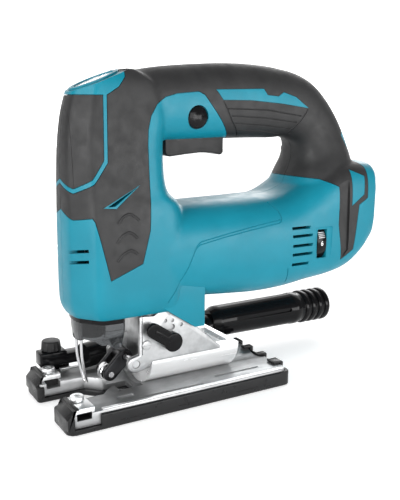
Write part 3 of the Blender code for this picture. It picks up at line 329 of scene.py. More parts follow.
def plan_section(front, rear, half):
    """A level section of the column: a flat nose, two creases on each side and a round back."""
    depth = rear - front
    near = [
        (0.0, 0.0), (0.15, 0.15), (0.5, 0.30), (1.2, 0.415), (3.4, 0.54), (6.4, 0.71), (9.4, 0.87),
        (11.4, 0.945), (14.5, 0.985), (20, 1.0),
    ]
    soft = min(1.0, depth / 62)
    spots = [(front + dx * soft, fy * half) for dx, fy in near]
    tail = 13 * soft
    for k in range(9):
        angle = pi / 2 * k / 8
        spots.append((rear - tail + tail * sin(angle), half * cos(angle) ** 0.8 if k < 8 else 0.0))
    return spots + [(a, -b) for a, b in reversed(spots[1:-1])]


# Heights of the belly, of the top of the barrel, and of the grip's underside
# and top. The column's rows are height, setback of the nose, rear end and
# change of half width. The barrel's are x, floor over the belly, roof over
# the window, change of half width and squareness. The handle's are x, height,
# half depth, slope in degrees and change of half width.
BELLY, WINDOW, GRIP_LOW, GRIP_TOP = 60.0, 123.0, 160.5, 207.3
NOSE_X, COLUMN_HALF, BARREL_HALF, GRIP_HALF = -64.5, 27.0, 35.5, 17.8
COLUMN = [
    (58.2, 3.5, 8.0, -3.5), (63.7, 0.8, 8.0, -1.2), (73.0, 0.0, 8.0, 0.0), (107.0, 0.0, 8.0, 0.0),
    (123.0, 0.0, 6.0, -1.0), (130.5, 0.0, -1.0, -2.4), (141.7, 0.0, -3.2, -4.0), (160.5, 0.8, -3.0, -6.0),
    (177.0, 3.0, 0.0, -7.6), (192.5, 7.5, -5.0, -9.5), (200.9, 11.0, -19.0, -13.0),
]
BARREL = [
    (-34, 6, -4, -13, 2.6), (-10, 3.5, -2, -8.5, 2.6), (14, 2, -0.5, -6, 2.7), (38, 0.5, 0, -4.2, 2.8),
    (60, -0.5, 0.5, -2.8, 2.9), (80, 1, 1.5, -1.4, 3.2), (98, 4, 8.5, -0.6, 3.6), (116, 7, 19.5, 0, 4.4),
    (130, 11, 22.5, 0, 4.6), (141, 19, 22, -0.3, 4.6), (149.5, 29, 21.5, -1.6, 4.6),
]
MID, REACH = (GRIP_LOW + GRIP_TOP) / 2, (GRIP_TOP - GRIP_LOW) / 2
HANDLE = [
    (-40, MID - 6.5, REACH - 5, 2, -1), (-10, MID - 3.1, REACH - 1.8, 0, 0),
    (20, MID - 1.2, REACH - 0.5, 2, 0),
    (50, MID, REACH, 0, 0), (78, MID - 0.8, REACH - 0.6, -4, 0), (98.6, MID - 4, REACH - 2.6, -24, 0.2),
    (113, MID - 14.9, REACH - 5.2, -50, 1.4), (119.6, MID - 30.8, REACH - 3.6, -72, 5.4),
    (120.4, MID - 46, REACH, -88, 11), (117.5, MID - 62, REACH + 4, -90, 15),
]
column_rings = []
for z, setback, rear, narrow in filled_rows(COLUMN, 6):
    column_rings.append([(a, b, z) for a, b in plan_section(NOSE_X + setback, rear, COLUMN_HALF + narrow)])
barrel_rings = []
for x, low, top, narrow, power in filled_rows(BARREL, 6):
    floor_z, roof_z = BELLY + low, WINDOW + top
    ring = rounded(BARREL_HALF + narrow, (roof_z - floor_z) / 2, power)
    barrel_rings.append([(x, a, (roof_z + floor_z) / 2 + b) for a, b in ring])
handle_rings = []
for x, z, reach, slope, widen in filled_rows(HANDLE, 6):
    tilt = radians(slope)
    ring = rounded(GRIP_HALF + widen, reach, 2.5)
    handle_rings.append([(x + b * sin(-tilt), a, z + b * cos(tilt)) for a, b in ring])
outside = join_all(
    [skin_over(column_rings, "column"), skin_over(barrel_rings, "barrel"), skin_over(handle_rings, "handle")]
)
one_skin(outside, 1.1 * MM)
press(outside, "SMOOTH", factor=0.5, iterations=14)

BADGE_FRONT, BADGE_REAR = Vector((-58 * MM, 0, 188 * MM)), Vector((-27 * MM, 0, 200.4 * MM))
badge_lean = atan2((BADGE_REAR - BADGE_FRONT).z, (BADGE_REAR - BADGE_FRONT).x)
badge_turn = Matrix.Rotation(-badge_lean, 4, "Y")
crown_trim = block((-60, -40, 0), (33.4, 40, 30))
crown_trim.data.transform(Matrix.Translation(BADGE_FRONT) @ badge_turn)
combine(outside, crown_trim)

tree = BVHTree.FromObject(outside, bpy.context.evaluated_depsgraph_get())


def on_skin(x, z, hand=-1, sink=0.0):
    """The point on the outside of the shell at x, z in millimetres, seen from one side."""
    start = Vector((x * MM, hand * 0.09, z * MM))
    spot = tree.ray_cast(start, Vector((0, -hand, 0)))[0]
    return spot + Vector((0, -hand * sink * MM, 0)) if spot else None


def skin_line(points, hand, sink=0.0, step=2.0):
    """Points at even steps along a line drawn on the side of the shell."""
    path = []
    for (xa, za), (xb, zb) in zip(points, points[1:]):
        count = max(1, int(hypot(xb - xa, zb - za) / step))
        path += [(xa + (xb - xa) * k / count, za + (zb - za) * k / count) for k in range(count)]
    path.append(points[-1])
    spots = [on_skin(x, z, hand, sink) for x, z in path]
    return [spot for spot in spots if spot]


inner = twin(outside)
press(inner, "DISPLACE", strength=-2.0 * MM, mid_level=0.0, direction="NORMAL")
press(inner, "SMOOTH", factor=0.5, iterations=2)

# Where each moulding shows, drawn from the side and from the nose.
NOSE_PLANE = -61.2
GRIP_LINE = [
    (NOSE_PLANE, 117.2), (-54.5, 118.9), (-53.5, 117), (-45.5, 83), (-25.5, 91), (-20.5, 110), (-19.3, 130),
    (-18.9, 158), (-18.2, 167), (-16, 174.8), (-11.5, 181.5), (-5.5, 185.6), (2, 187.6), (17, 189), (21, 187),
    (43.5, 160.5), (43.5, 150), (84, 150), (74, 147), (82.5, 139.8), (90, 135.4), (105, 134),
    (115.5, 129.2), (115.5, 104), (119.9, 79.5),
    (130, 85.7), (133, 116.3), (140.6, 120.6), (140.8, 141), (135.5, 150), (127.5, 162), (150, 185),
    (160, 220),
    (-29, 220), (-30.5, 196.2), (-35, 190.6), (-42.5, 186), (-44.2, 149.2), (-52.5, 137.5), (NOSE_PLANE, 132),
]
NOSE_LINE = [(NOSE_PLANE, 134.6), (-53.3, 140), (-46.4, 150.5), (-44.8, 186), (NOSE_PLANE, 186)]
GRIP_FRONT = [
    (-30, 117.2), (-12.5, 117.2), (0, 122.2), (12.5, 117.2), (30, 117.2), (30, 132), (12.5, 132), (0, 137),
    (-12.5, 132), (-30, 132),
]
NOSE_FRONT = [(-30, 134.6), (-12.5, 134.6), (0, 139.6), (12.5, 134.6), (30, 134.6), (30, 190), (-30, 190)]
SCOOP = [(-48.6, 124.5), (-41.2, 123.8), (-25.3, 136.2)]
HANDLE_STRIPE = [
    (29.2, 190.3), (64.1, 191.4), (67.0, 187.6), (75.7, 187.0), (79.7, 189.6), (89.6, 186.8), (100.0, 179.9),
    (78.7, 182.6), (54.5, 184.4), (34.0, 184.4),
]
REAR_INSET = [(126.5, 139.8), (137.7, 135.3), (137.1, 123.1), (126.7, 116.1)]


def shifted(points, distance):
    """A closed outline moved inwards by a distance, whichever way round it runs."""
    area = sum(a[0] * b[1] - b[0] * a[1] for a, b in zip(points, points[1:] + points[:1]))
    sign = 1 if area > 0 else -1
    moved = []
    for i, here in enumerate(points):
        before, after = Vector(points[i - 1]), Vector(points[(i + 1) % len(points)])
        here = Vector(here)
        first, second = (here - before).normalized(), (after - here).normalized()
        normal = Vector((-first.y - second.y, first.x + second.x)) * sign
        moved.append(tuple(here + normal * (distance * 2 / max(normal.length_squared, 0.6))))
    return moved


def grip_mould(inset):
    """The space that the grip's elastomer fills, or a hair more or less of it."""
    side_on = prism(shifted(GRIP_LINE, inset), "Y", -60, 60)
    nose_on = prism(shifted(GRIP_FRONT, inset), "X", -80, NOSE_PLANE + 0.05 + inset)
    combine(side_on, block((-90, -60, 100), (NOSE_PLANE + inset, 60, 160)))
    return combine(side_on, nose_on, "UNION", solver="EXACT")


def nose_mould(inset):
    """The space that the nose pad's elastomer fills."""
    side_on = prism(shifted(NOSE_LINE, inset), "Y", -60, 60)
    nose_on = prism(shifted(NOSE_FRONT, inset), "X", -80, NOSE_PLANE + 0.05)
    combine(nose_on, block((-90, -70, 186 - inset), (0, 70, 200)))
    combine(side_on, block((-90, -60, 100), (NOSE_PLANE, 60, 200)))
    return combine(side_on, nose_on, "UNION", solver="EXACT")


def badge_slab(half_width, shorter, low, high):
    """An oval slab lying on the medallion's plane."""
    length = (BADGE_REAR - BADGE_FRONT).length / 2 / MM - 1.2 - shorter
    slab = bar((0, 0, 0), "Z", low, high, 1, sides=96)
    slab.data.transform(Matrix.Diagonal((length, half_width, 1, 1)))
    slab.data.transform(Matrix.Translation((BADGE_FRONT + BADGE_REAR) / 2) @ badge_turn)
    return slab


def both_sides(points, start):
    """The same outline as a solid on the left and on the right of the shell."""
    return [prism(points, "Y", -60, -start), prism(points, "Y", start, 60)]


SEAM = 0.17
INSETS = ((HANDLE_STRIPE, 1), (REAR_INSET, 25), (SCOOP, 14))
rubber = twin(outside)
combine(rubber, inner, keep=True)
grip_skin = combine(twin(rubber), grip_mould(SEAM), "INTERSECT")
nose_skin = combine(rubber, nose_mould(SEAM), "INTERSECT")
shell = outside
first_shot = grip_mould(-SEAM)
for outline, start in INSETS:
    for stock, gap in ((first_shot, 0.0), (grip_skin, -0.25)):
        for tool in both_sides(shifted(outline, gap), start):
            combine(stock, tool)
combine(shell, first_shot)
combine(shell, nose_mould(-SEAM))
combine(shell, inner, "UNION")

# The hollow inside, the vents, the pockets and the screw holes.
SKIN = 4.4
column_space = []
for z, setback, rear, narrow in COLUMN[:-1]:
    plan = plan_section(NOSE_X + setback + SKIN, rear - SKIN, 22.6 + narrow)
    column_space.append([(a, b, z - 14 if z < 65 else z) for a, b in plan])
barrel_space = []
for x, low, top, narrow, power in BARREL[:-1]:
    floor_z, roof_z = BELLY + low + SKIN, WINDOW + top - SKIN
    ring = rounded(31.1 + narrow, (roof_z - floor_z) / 2, power, 32)
    barrel_space.append([(min(x, 135.5), a, (roof_z + floor_z) / 2 + b) for a, b in ring])
space = join_all([skin_over(column_space, "space"), skin_over(barrel_space, "space")])
combine(shell, one_skin(space, 2.5 * MM))

DIAL_HUB, LOCK_BUTTON = (0, -20.6, 92.3), (16.5, 0, 174)
POCKET_LOW, POCKET_TOP, POCKET_REAR, POCKET_HALF = GRIP_LOW - 8, GRIP_LOW + 16.5, 41.3, 7.8
BADGE_SEAT = (12.3, -0.3, -1.9, 20)
VENTS = [(78.0, 104.0, 91.8), (78.5, 98.7, 93.8), (78.8, 92.4, 94.2), (78.8, 86.6, 94.3), (78.8, 80.0, 91.8)]
cuts = []
for low_x, z, high_x in VENTS:
    corners = [(low_x, z - 0.95), (high_x, z - 0.75), (high_x + 0.5, z + 1.15), (low_x - 0.3, z + 0.95)]
    cuts += both_sides(corners, 20)
for hand in (-1, 1):
    for z in (99.4, 93.2):
        slot = block((-72, -1, -0.9), (-50, 1, 0.9))
        slot.data.transform(Matrix.Diagonal((1, 6.2, 1, 1)))
        slot.data.transform(Matrix.Rotation(radians(9 * hand), 4, "X"))
        slot.data.transform(Matrix.Translation((0, hand * 15.5 * MM, z * MM)))
        cuts.append(slot)
cuts += both_sides(shifted(SCOOP, 1.25), 14)
cuts.append(block((-0.9, -POCKET_HALF, POCKET_LOW), (POCKET_REAR, POCKET_HALF, POCKET_TOP)))
cuts.append(bar((16.7, 0, 174), "Y", -30, -2, 7.1))
cuts.append(block((98.2, -60, 82.6), (106.2, -22, 101.9), 0.6))
cuts.append(bar(DIAL_HUB, "X", 98.0, 106.0, 15.1))
cuts.append(block((139.5, -25, 93), (160, 25, 136), 0.8))
cuts.append(badge_slab(*BADGE_SEAT))
SCREW_PLACES = [(-52, 110), (108, 152), (22, 113), (124, 78)]
for x, z in SCREW_PLACES:
    hole = bar((x, 0, z), "Y", 12, 60, 3.5, sides=32)
    combine(grip_skin, hole, keep=True)
    cuts.append(hole)
combine(grip_skin, block((4.2, -POCKET_HALF, POCKET_LOW), (POCKET_REAR, POCKET_HALF, POCKET_TOP)))
for skin in (grip_skin, nose_skin):
    combine(skin, badge_slab(*BADGE_SEAT))
cuts.append(block((95.8, -60, 79.6), (110.4, -34.4, 103.8), 1.4))
for tool in cuts:
    combine(shell, tool)

# The parting lines that are only engraved.
ENGRAVED = [
    [(-9.0, 64.9), (-2.0, 74.6), (4.4, 86.5), (8.5, 96.4), (11.5, 99.0), (28.0, 102.2), (47.1, 105.2),
     (69.2, 108.3), (71.0, 110.6), (70.0, 115.5), (66.0, 120.4)],
    [(5.2, 88.5), (9.3, 98.2), (12.0, 100.7), (28.0, 103.7), (47.0, 106.9), (69.6, 110.2)],
    [(75.7, 78.3), (77.6, 67.7)],
    [(77.2, 138.4), (74.6, 134.5), (66.1, 127.6), (56.2, 125.2)],
]
for hand in (-1, 1):
    for line in ENGRAVED:
        combine(shell, rope(skin_line(line, hand), 0.4, resolution=2), solver="EXACT")

# On the rubber: grooves along and across the handle, chevrons under the scoop, and the rear recess.
RIBS = [
    [(37.4, 179.2), (67.9, 178.5), (94.5, 174.8)], [(40.6, 174.9), (67, 173.6), (91.8, 170.8)],
    [(43.9, 170.4), (66, 169.3), (88.4, 166.8)], [(46.6, 166.1), (66, 165.2), (83.7, 163.0)],
    [(34.0, 183.6), (41.0, 172.0), (49.5, 162.5)], [(99.5, 179.0), (86.5, 160.5)],
]
CHEVRONS = [
    [(-40.5, 115.6), (-37.2, 119.2), (-33.4, 120.5), (-30.4, 119.0), (-27.6, 116.4)],
    [(-41.5, 104.6), (-38.2, 108.5), (-34.0, 110.2), (-31.2, 108.8), (-28.8, 106.4)],
    [(-41.5, 93.8), (-38.0, 97.6), (-33.6, 99.7), (-31.0, 98.8), (-28.9, 97.0)],
]
REAR_RECESS = [
    (114.4, 144.6), (119, 146.8), (123.6, 144.0), (125.2, 86.0), (121.2, 81.4), (117.9, 88.4), (114.4, 129),
]
for hand in (-1, 1):
    for rib in RIBS:
        combine(grip_skin, rope(skin_line(rib, hand, step=3.0), 0.5, resolution=2), solver="EXACT")
    for chevron in CHEVRONS:
        ridge = rope(skin_line(chevron, hand, sink=0.35), 0.95, resolution=3)
        combine(grip_skin, ridge, "UNION", solver="EXACT")
for tool in both_sides(REAR_RECESS, 33.9):
    combine(grip_skin, tool)


def half_of(piece, hand, name):
    """One clamshell's share of a moulding, parted on the middle plane."""
    half = twin(piece)
    low, high = sorted((hand * 0.15, hand * 60))
    combine(half, block((-90, low, 0), (190, high, 230)), "INTERSECT")
    half.name = half.data.name = name
    work_on(half)
    bpy.ops.object.shade_smooth_by_angle(angle=radians(32))
    return half


def blank_look(name, colour, roughness, metallic=0.0, specular=0.5):
    """An even material, before grain and mottle are added to it."""
    look = bpy.data.materials.new(name)
    look.use_nodes = True
    shader = look.node_tree.nodes["Principled BSDF"]
    shader.inputs["Base Color"].default_value = colour
    shader.inputs["Roughness"].default_value = roughness
    shader.inputs["Metallic"].default_value = metallic
    shader.inputs["Specular IOR Level"].default_value = specular
    return look


def noise_on(look, scale, detail, stretch):
    """Noise in the object's own coordinates, its scale in cycles per metre."""
    nodes, links = look.node_tree.nodes, look.node_tree.links
    noise = nodes.new("ShaderNodeTexNoise")
    noise.inputs["Scale"].default_value = scale
    noise.inputs["Detail"].default_value = detail
    place = nodes.new("ShaderNodeTexCoord")
    mapping = nodes.new("ShaderNodeMapping")
    mapping.inputs["Scale"].default_value = stretch
    links.new(place.outputs["Object"], mapping.inputs["Vector"])
    links.new(mapping.outputs["Vector"], noise.inputs["Vector"])
    return noise.outputs["Fac"]


def add_grain(look, scale, depth, strength=0.5, stretch=(1, 1, 1), detail=2.0):
    """A fine bump over the whole surface, its depth in metres."""
    nodes, links = look.node_tree.nodes, look.node_tree.links
    bump = nodes.new("ShaderNodeBump")
    bump.inputs["Strength"].default_value = strength
    bump.inputs["Distance"].default_value = depth
    links.new(noise_on(look, scale, detail, stretch), bump.inputs["Height"])
    links.new(bump.outputs["Normal"], nodes["Principled BSDF"].inputs["Normal"])


def add_mottle(look, socket, scale, low, high, stretch=(1, 1, 1)):
    """Lets a value or a colour wander between two settings over the surface."""
    nodes, links = look.node_tree.nodes, look.node_tree.links
    ramp = nodes.new("ShaderNodeValToRGB")
    ramp.color_ramp.elements[0].position = 0.35
    ramp.color_ramp.elements[1].position = 0.68
    pair = [value if isinstance(value, tuple) else (value, value, value, 1) for value in (low, high)]
    ramp.color_ramp.elements[0].color = pair[0]
    ramp.color_ramp.elements[1].color = pair[1]
    links.new(noise_on(look, scale, 3.0, stretch), ramp.inputs["Fac"])
    links.new(ramp.outputs["Color"], nodes["Principled BSDF"].inputs[socket])


def dress(piece, look):
    piece.data.materials.clear()
    piece.data.materials.append(look)
    return piece


# Teal is satin spark-eroded nylon: a fine even grain with faint flow variation.
teal_nylon = blank_look("teal_nylon", (0.003, 0.160, 0.222, 1), 0.38, specular=0.22)
add_mottle(teal_nylon, "Base Color", 55, (0.0026, 0.152, 0.212, 1), (0.0036, 0.168, 0.232, 1))
add_mottle(teal_nylon, "Roughness", 140, 0.34, 0.44)
add_grain(teal_nylon, 2600, 0.00002, 0.35)
grip_rubber = blank_look("grip_elastomer", (0.014, 0.014, 0.0145, 1), 0.46, specular=0.34)
add_mottle(grip_rubber, "Base Color", 70, (0.011, 0.011, 0.0115, 1), (0.017, 0.017, 0.0175, 1))
add_mottle(grip_rubber, "Roughness", 160, 0.48, 0.62)
add_grain(grip_rubber, 1900, 0.00004, 0.5)
for hand, word in HANDS:
    for stock, cad_name, look, slot_name in (
        (shell, "housing_", teal_nylon, "teal_shell"),
        (grip_skin, "grip_", grip_rubber, "soft_grip"),
        (nose_skin, "nose_pad_", grip_rubber, "soft_grip"),
    ):
        part = dress(half_of(stock, hand, cad_name + word + "_moulding"), look)
        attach(part, "tool")
        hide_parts(cad_name + word)
scrap(shell, grip_skin, nose_skin)


# ------------ Belly spurs
# The teal tongue that each shell sends down in front of its belly, flat and
# narrow, beside the casting.
def ride_as(piece, body, nodes, look=None, angle=32):
    """Smooths a finished piece, dresses it and hangs it on its body in place of its CAD nodes."""
    work_on(piece)
    bpy.ops.object.shade_smooth_by_angle(angle=radians(angle))
    if look:
        dress(piece, look)
    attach(piece, body)
    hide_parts(*nodes)
    return piece


def named(piece, name):
    piece.name = piece.data.name = name
    return piece


SPUR_LINE = [(-12, 76), (-11.5, 61.5), (11.0, 46.4), (18, 46.2), (18, 76)]
for hand, word in HANDS:
    low, high = sorted((hand * 22.7, hand * 25.1))
    spur = named(prism(SPUR_LINE, "Y", low, high, 0.5, 3), "belly_spur_" + word)
    ride_as(spur, "tool", ["housing_" + word], teal_nylon)


# ------------ Medallion
# An oval ring moulded in the shell's teal nylon, pressed into the crown
# over a spun aluminium disc with three turned rings.
ring = combine(badge_slab(12, 0, -1.6, 1.0), badge_slab(9, 3, -0.8, 5))
named(edge_break(ring, 0.55, 50, 3), "badge_ring_moulding")
ride_as(ring, "tool", ["badge_ring"], teal_nylon)
disc = badge_slab(8.7, 3.3, -0.5, 0.4)
for k in range(3):
    groove = badge_slab(7.2 - 2 * k, 4.8 + 2 * k, 0.22, 2)
    combine(disc, combine(groove, badge_slab(6.9 - 2 * k, 5.1 + 2 * k, 0, 3)))
spun_silver = blank_look("spun_silver", (0.80, 0.81, 0.82, 1), 0.22, 1.0)
add_mottle(spun_silver, "Roughness", 900, 0.16, 0.34, (1, 12, 1))
add_grain(spun_silver, 1200, 0.00001, 0.3, (1, 14, 1))
named(edge_break(disc, 0.2, 50), "badge_disc_spun")
ride_as(disc, "tool", ["badge_disc"], spun_silver)


# ------------ Trigger and lock button
# The trigger is a nylon paddle with a hollow for the finger on its underside.
# The lock-on button is a domed plug of gloss black acetal in a round hole.
black_nylon = blank_look("black_nylon", (0.012, 0.012, 0.0125, 1), 0.42, specular=0.2)
add_mottle(black_nylon, "Base Color", 120, (0.010, 0.010, 0.0105, 1), (0.016, 0.016, 0.0165, 1))
add_mottle(black_nylon, "Roughness", 200, 0.36, 0.50)
add_grain(black_nylon, 2400, 0.00003, 0.4)
gloss_acetal = blank_look("gloss_acetal", (0.004, 0.004, 0.0045, 1), 0.14, specular=0.14)
add_mottle(gloss_acetal, "Roughness", 90, 0.08, 0.17)
add_grain(gloss_acetal, 500, 0.00001, 0.25)
paddle_line = [
    (-0.6, 169.5), (-0.6, 153.0), (0.4, 150.9), (3, 150.4), (14, 151.5), (24, 152.3), (33, 151.9),
    (38.5, 150.7),
    (40.2, 151.0), (41, 152.6), (41, 169.5),
]
paddle = prism(paddle_line, "Y", -7.5, 7.5, 1.5, 4)
ride_as(named(paddle, "trigger_paddle"), "trigger", ["trigger"], black_nylon)
plug = bar(LOCK_BUTTON, "Y", -16.6, -12.4, 6.8)
for k in range(5):
    rise, reach = 16.55 + 0.43 * k, 6.75 - 0.22 * k * k
    cap_ring = bar(LOCK_BUTTON, "Y", -rise - 0.43, -rise, reach - 0.22 * (2 * k + 1), reach)
    combine(plug, cap_ring, "UNION")
named(plug, "lock_button_plug")
ride_as(plug, "lock", ["lock_button"], gloss_acetal)


# ------------ Speed dial
# A thumb wheel of black acetal. Its rim has six figures, each with a patch
# of four silver ridges for the thumb beside it.
FIGURE_STEP, RIDGE_RADIUS, FIGURE_RADIUS = 45, 14.45, 14.52
wheel = bar(DIAL_HUB, "X", 98.3, 105.7, 14.5, sides=96, bevel=0.35)
ride_as(named(wheel, "speed_wheel"), "dial", ["speed_dial"], gloss_acetal)
worn_silver = blank_look("worn_silver", (0.62, 0.63, 0.64, 1), 0.35, 1.0)
add_mottle(worn_silver, "Roughness", 700, 0.25, 0.5)
ridges = []
for number in range(6):
    for k in range(4):
        angle = radians(FIGURE_STEP * number + 16 + 4.6 * k)
        across, up = RIDGE_RADIUS * cos(angle), RIDGE_RADIUS * sin(angle)
        place = (0, DIAL_HUB[1] - across, DIAL_HUB[2] + up)
        ridges.append(bar(place, "X", 99.4, 104.6, 0.42, sides=10, bevel=0.12))
ridge_set = named(join_all(ridges), "speed_wheel_ridges")
ride_as(ridge_set, "dial", ["speed_dial"], worn_silver)
white_ink = blank_look("white_ink", (0.86, 0.86, 0.85, 1), 0.5)
add_mottle(white_ink, "Base Color", 900, (0.80, 0.80, 0.79, 1), (0.90, 0.90, 0.89, 1))
for number in range(6):
    bpy.ops.object.text_add()
    figure = bpy.context.object
    figure.data.body = str(6 - number)
    figure.data.size = 4.4 * MM
    figure.data.align_x, figure.data.align_y = "CENTER", "CENTER"
    figure.data.extrude = 0.06 * MM
    bpy.ops.object.convert(target="MESH")
    figure = bpy.context.object
    spin = Matrix.Rotation(-radians(FIGURE_STEP * number), 4, "X")
    face = Matrix.Rotation(pi / 2, 4, "X")
    hub = Matrix.Translation((102 * MM, DIAL_HUB[1] * MM, DIAL_HUB[2] * MM))
    figure.matrix_world = hub @ spin @ Matrix.Translation((0, -FIGURE_RADIUS * MM, 0)) @ face
    settle(figure)
    ride_as(named(figure, f"dial_number_{6 - number}"), "dial", ["speed_dial"], white_ink)


# ------------ Housing screws
# Black-oxidised socket screws that pull the right shell onto the left one.
black_oxide = blank_look("black_oxide", (0.035, 0.035, 0.037, 1), 0.34, 1.0)
add_mottle(black_oxide, "Roughness", 300, 0.28, 0.5)
add_grain(black_oxide, 1500, 0.00001, 0.3)
for k, (x, z) in enumerate(SCREW_PLACES, start=1):
    head = bar((x, 0, z), "Y", 14, 17, 3.2, sides=40, bevel=0.35)
    combine(head, bar((x, 0, z), "Y", 15.5, 20, 1.5, sides=6))
    ride_as(named(head, f"shell_screw_{k}"), "tool", [f"housing_screw_{k}"], black_oxide)


# ------------ Gear case
# An aluminium die casting: bead-blasted all over, with the bevel saddle
# ground bright where it turns in the base, part of its whiteness painted
# reflection. Guide shelves and a wall for the crank's axle stand up inside
# the shells.
def capsule(a, b, radius_a, radius_b, count=14):
    """A side outline round two circles."""
    a, b = Vector(a), Vector(b)
    along = atan2(b.y - a.y, b.x - a.x)
    spots = []
    for centre, radius, start in ((b, radius_b, -90), (a, radius_a, 90)):
        for k in range(count + 1):
            angle = along + radians(start + 180 * k / count)
            spots.append((centre.x + radius * cos(angle), centre.y + radius * sin(angle)))
    return spots


cast_alloy = blank_look("cast_alloy", (0.44, 0.445, 0.45, 1), 0.46, 1.0)
add_mottle(cast_alloy, "Base Color", 160, (0.38, 0.385, 0.39, 1), (0.49, 0.495, 0.50, 1))
add_mottle(cast_alloy, "Roughness", 260, 0.34, 0.54)
add_grain(cast_alloy, 1400, 0.00006, 0.45, detail=4)
# Partly painted reflection: the saddle's white is only half metal, so it shows as a bright diffuse white
# under any lamp.
ground_alloy_painted_reflection = blank_look("ground_alloy_painted_reflection", (0.86, 0.865, 0.87, 1), 0.24, 0.45)
add_mottle(ground_alloy_painted_reflection, "Roughness", 420, 0.15, 0.28, (0.05, 1, 1))
add_grain(ground_alloy_painted_reflection, 900, 0.00001, 0.25, (0.04, 1, 1))
SADDLE_AXIS, PLUNGER, LEVER_HUB = (0, 0, 30), (-46.5, 0, 0), (-6, 0, 40.5)
ARM_PIN, ROLLER_PIN = (-28, 0, 28.2), (-38, 0, 18.5)
saddle = bar(SADDLE_AXIS, "X", -17, 46, 21.5, sides=128)
combine(saddle, block((-40, -40, 30), (80, 40, 80)))
for x, width in ((5.5, 2.2), (18.5, 2.0)):
    combine(saddle, bar((x, 0, 30.4), "Y", -30, -17.5, width, sides=32))
combine(saddle, block((-10, -14.5, 26.5), (42, 14.5, 40), 1.0))
named(edge_break(saddle, 0.5, 45, 3), "bevel_saddle")
ride_as(saddle, "tool", ["gear_case"], ground_alloy_painted_reflection)
arc_angles = [radians(t) for t in range(40, 131, 6)]
cheek_arc = [(-7 + 14 * cos(t), 46 + 14 * sin(t)) for t in arc_angles]
ear_line = [(-31.5, 32.3), (-33.4, 29.5), (-33.2, 26), (-31.5, 23.8), (-28, 22.8)]
cheek_line = [
    (-25.5, 33.5), *ear_line, (-22, 24), (-17, 28), (32, 28), (32, 29.5), *cheek_arc, (-22, 57.5),
    (-25.5, 57.5),
]
cheek = prism(cheek_line, "Y", -22.1, -18.6, 0.7, 3)
combine(cheek, block((-20, -19, 23), (6, 15, 60), 1.2), "UNION")
ear = prism([*ear_line, (-19, 24), (-19, 40)], "Y", 8.5, 11.5, 0.6)
combine(cheek, ear, "UNION")
SHELVES = (
    ((-10.5, -10.2, 59), (-6.0, 10.2, 139.65)),
    ((-56.1, -9.9, 77), (-9.5, 9.9, 81.8)),
    ((-56.1, -9.9, 134.65), (-9.5, 9.9, 139.45)),
)
for low, high in SHELVES:
    combine(cheek, block(low, high, 0.5), "UNION")
for z in (74, 131):
    combine(cheek, bar(PLUNGER, "Z", z, z + 16, 8.3))
combine(cheek, bar((0, 0, 109.65), "X", -13, 0, 4.25))
combine(cheek, bar((0, 0, 88), "X", -13, 0, 3.7))
combine(cheek, bar(LEVER_HUB, "Y", -30, -8, 3.75))
combine(cheek, bar(ARM_PIN, "Y", -30, 20, 2.5))
for x, z, radius in ((-8.2, 52.6, 1.15), (-3.4, 52.2, 1.15), (2.6, 48.6, 1.3)):
    combine(cheek, bar((x, 0, z), "Y", -30, -20.9, radius, sides=32))
lens = prism(capsule((-9.0, 47.4), (-3.6, 48.0), 1.2, 1.9), "Y", -30, -20.6)
combine(cheek, lens)
combine(cheek, block((-24.3, -24, 33.4), (-23.7, -21.3, 60)))
named(edge_break(cheek, 0.18, 60, 1), "gear_casting")
ride_as(cheek, "tool", ["gear_case"], cast_alloy)
cap = bar((-21.3, 0, 39.3), "Y", -23.2, -22.0, 2.9, 3.0, sides=40, bevel=0.3)
combine(cap, block((-25, -24, 38.95), (-17, -22.8, 39.65)))
ride_as(named(cap, "cheek_screw"), "tool", ["gear_case"], cast_alloy)


# ------------ Plunger and blade clamp
# A ground steel plunger with the crosshead that the crank pin runs in. The
# keyless clamp at its foot is a fluted black steel sleeve with a thumb tab.
ground_steel = blank_look("ground_steel", (0.58, 0.58, 0.59, 1), 0.24, 1.0)
add_mottle(ground_steel, "Roughness", 350, 0.17, 0.34, (1, 1, 0.05))
add_grain(ground_steel, 1500, 0.00001, 0.3, (1, 1, 0.04))
stem = bar(PLUNGER, "Z", 46, 156, 4.0, bevel=0.5)
yoke = block((-32, -19, 100.55), (-28, 19, 118.75), 0.8)
combine(yoke, block((-34, -17, 103.75), (-20, 17, 115.55), 0.4))
for z in (100.55, 115.55):
    combine(yoke, block((-44, -3, z), (-31, 3, z + 3.2)), "UNION")
combine(stem, yoke, "UNION")
ride_as(named(stem, "plunger_ground"), "plunger", ["plunger"], ground_steel)
sleeve = bar(PLUNGER, "Z", 44, 59, 7.4, bevel=0.9)
combine(sleeve, bar(PLUNGER, "Z", 40, 62, 4.25))
for k in range(18):
    angle = 2 * pi * (k + 0.5) / 18
    place = (PLUNGER[0] + 7.55 * cos(angle), 7.55 * sin(angle), 0)
    combine(sleeve, bar(place, "Z", 45.6, 52.2, 0.5, sides=10))
tab = block((-48.5, -11.4, 54), (-44.5, -6.4, 58), 0.9)
combine(sleeve, tab, "UNION")
ride_as(named(sleeve, "blade_clamp_sleeve"), "clamp", ["blade_clamp"], black_oxide)


# ------------ Orbital lever
# A glass-filled nylon lever pushed onto the cam's flat. Its arm is thinner
# than its hub and ends in a pad with a rib for the thumb.
lever = bar(LEVER_HUB, "Y", -29.5, -22.4, 6.0, bevel=0.9)
arm = prism(capsule(LEVER_HUB[::2], (-19, 49.5), 4.6, 4.6), "Y", -29.1, -25.7, 0.7, 3)
combine(lever, arm, "UNION")
combine(lever, prism(capsule((-8, 41.9), (-17.8, 48.7), 1.0, 1.0), "Y", -29.5, -28.6, 0.3), "UNION")
combine(lever, bar(LEVER_HUB, "Y", -26.9, 0, 3.8))
ride_as(named(lever, "orbital_lever_moulding"), "orbital", ["orbital_lever"], gloss_acetal)


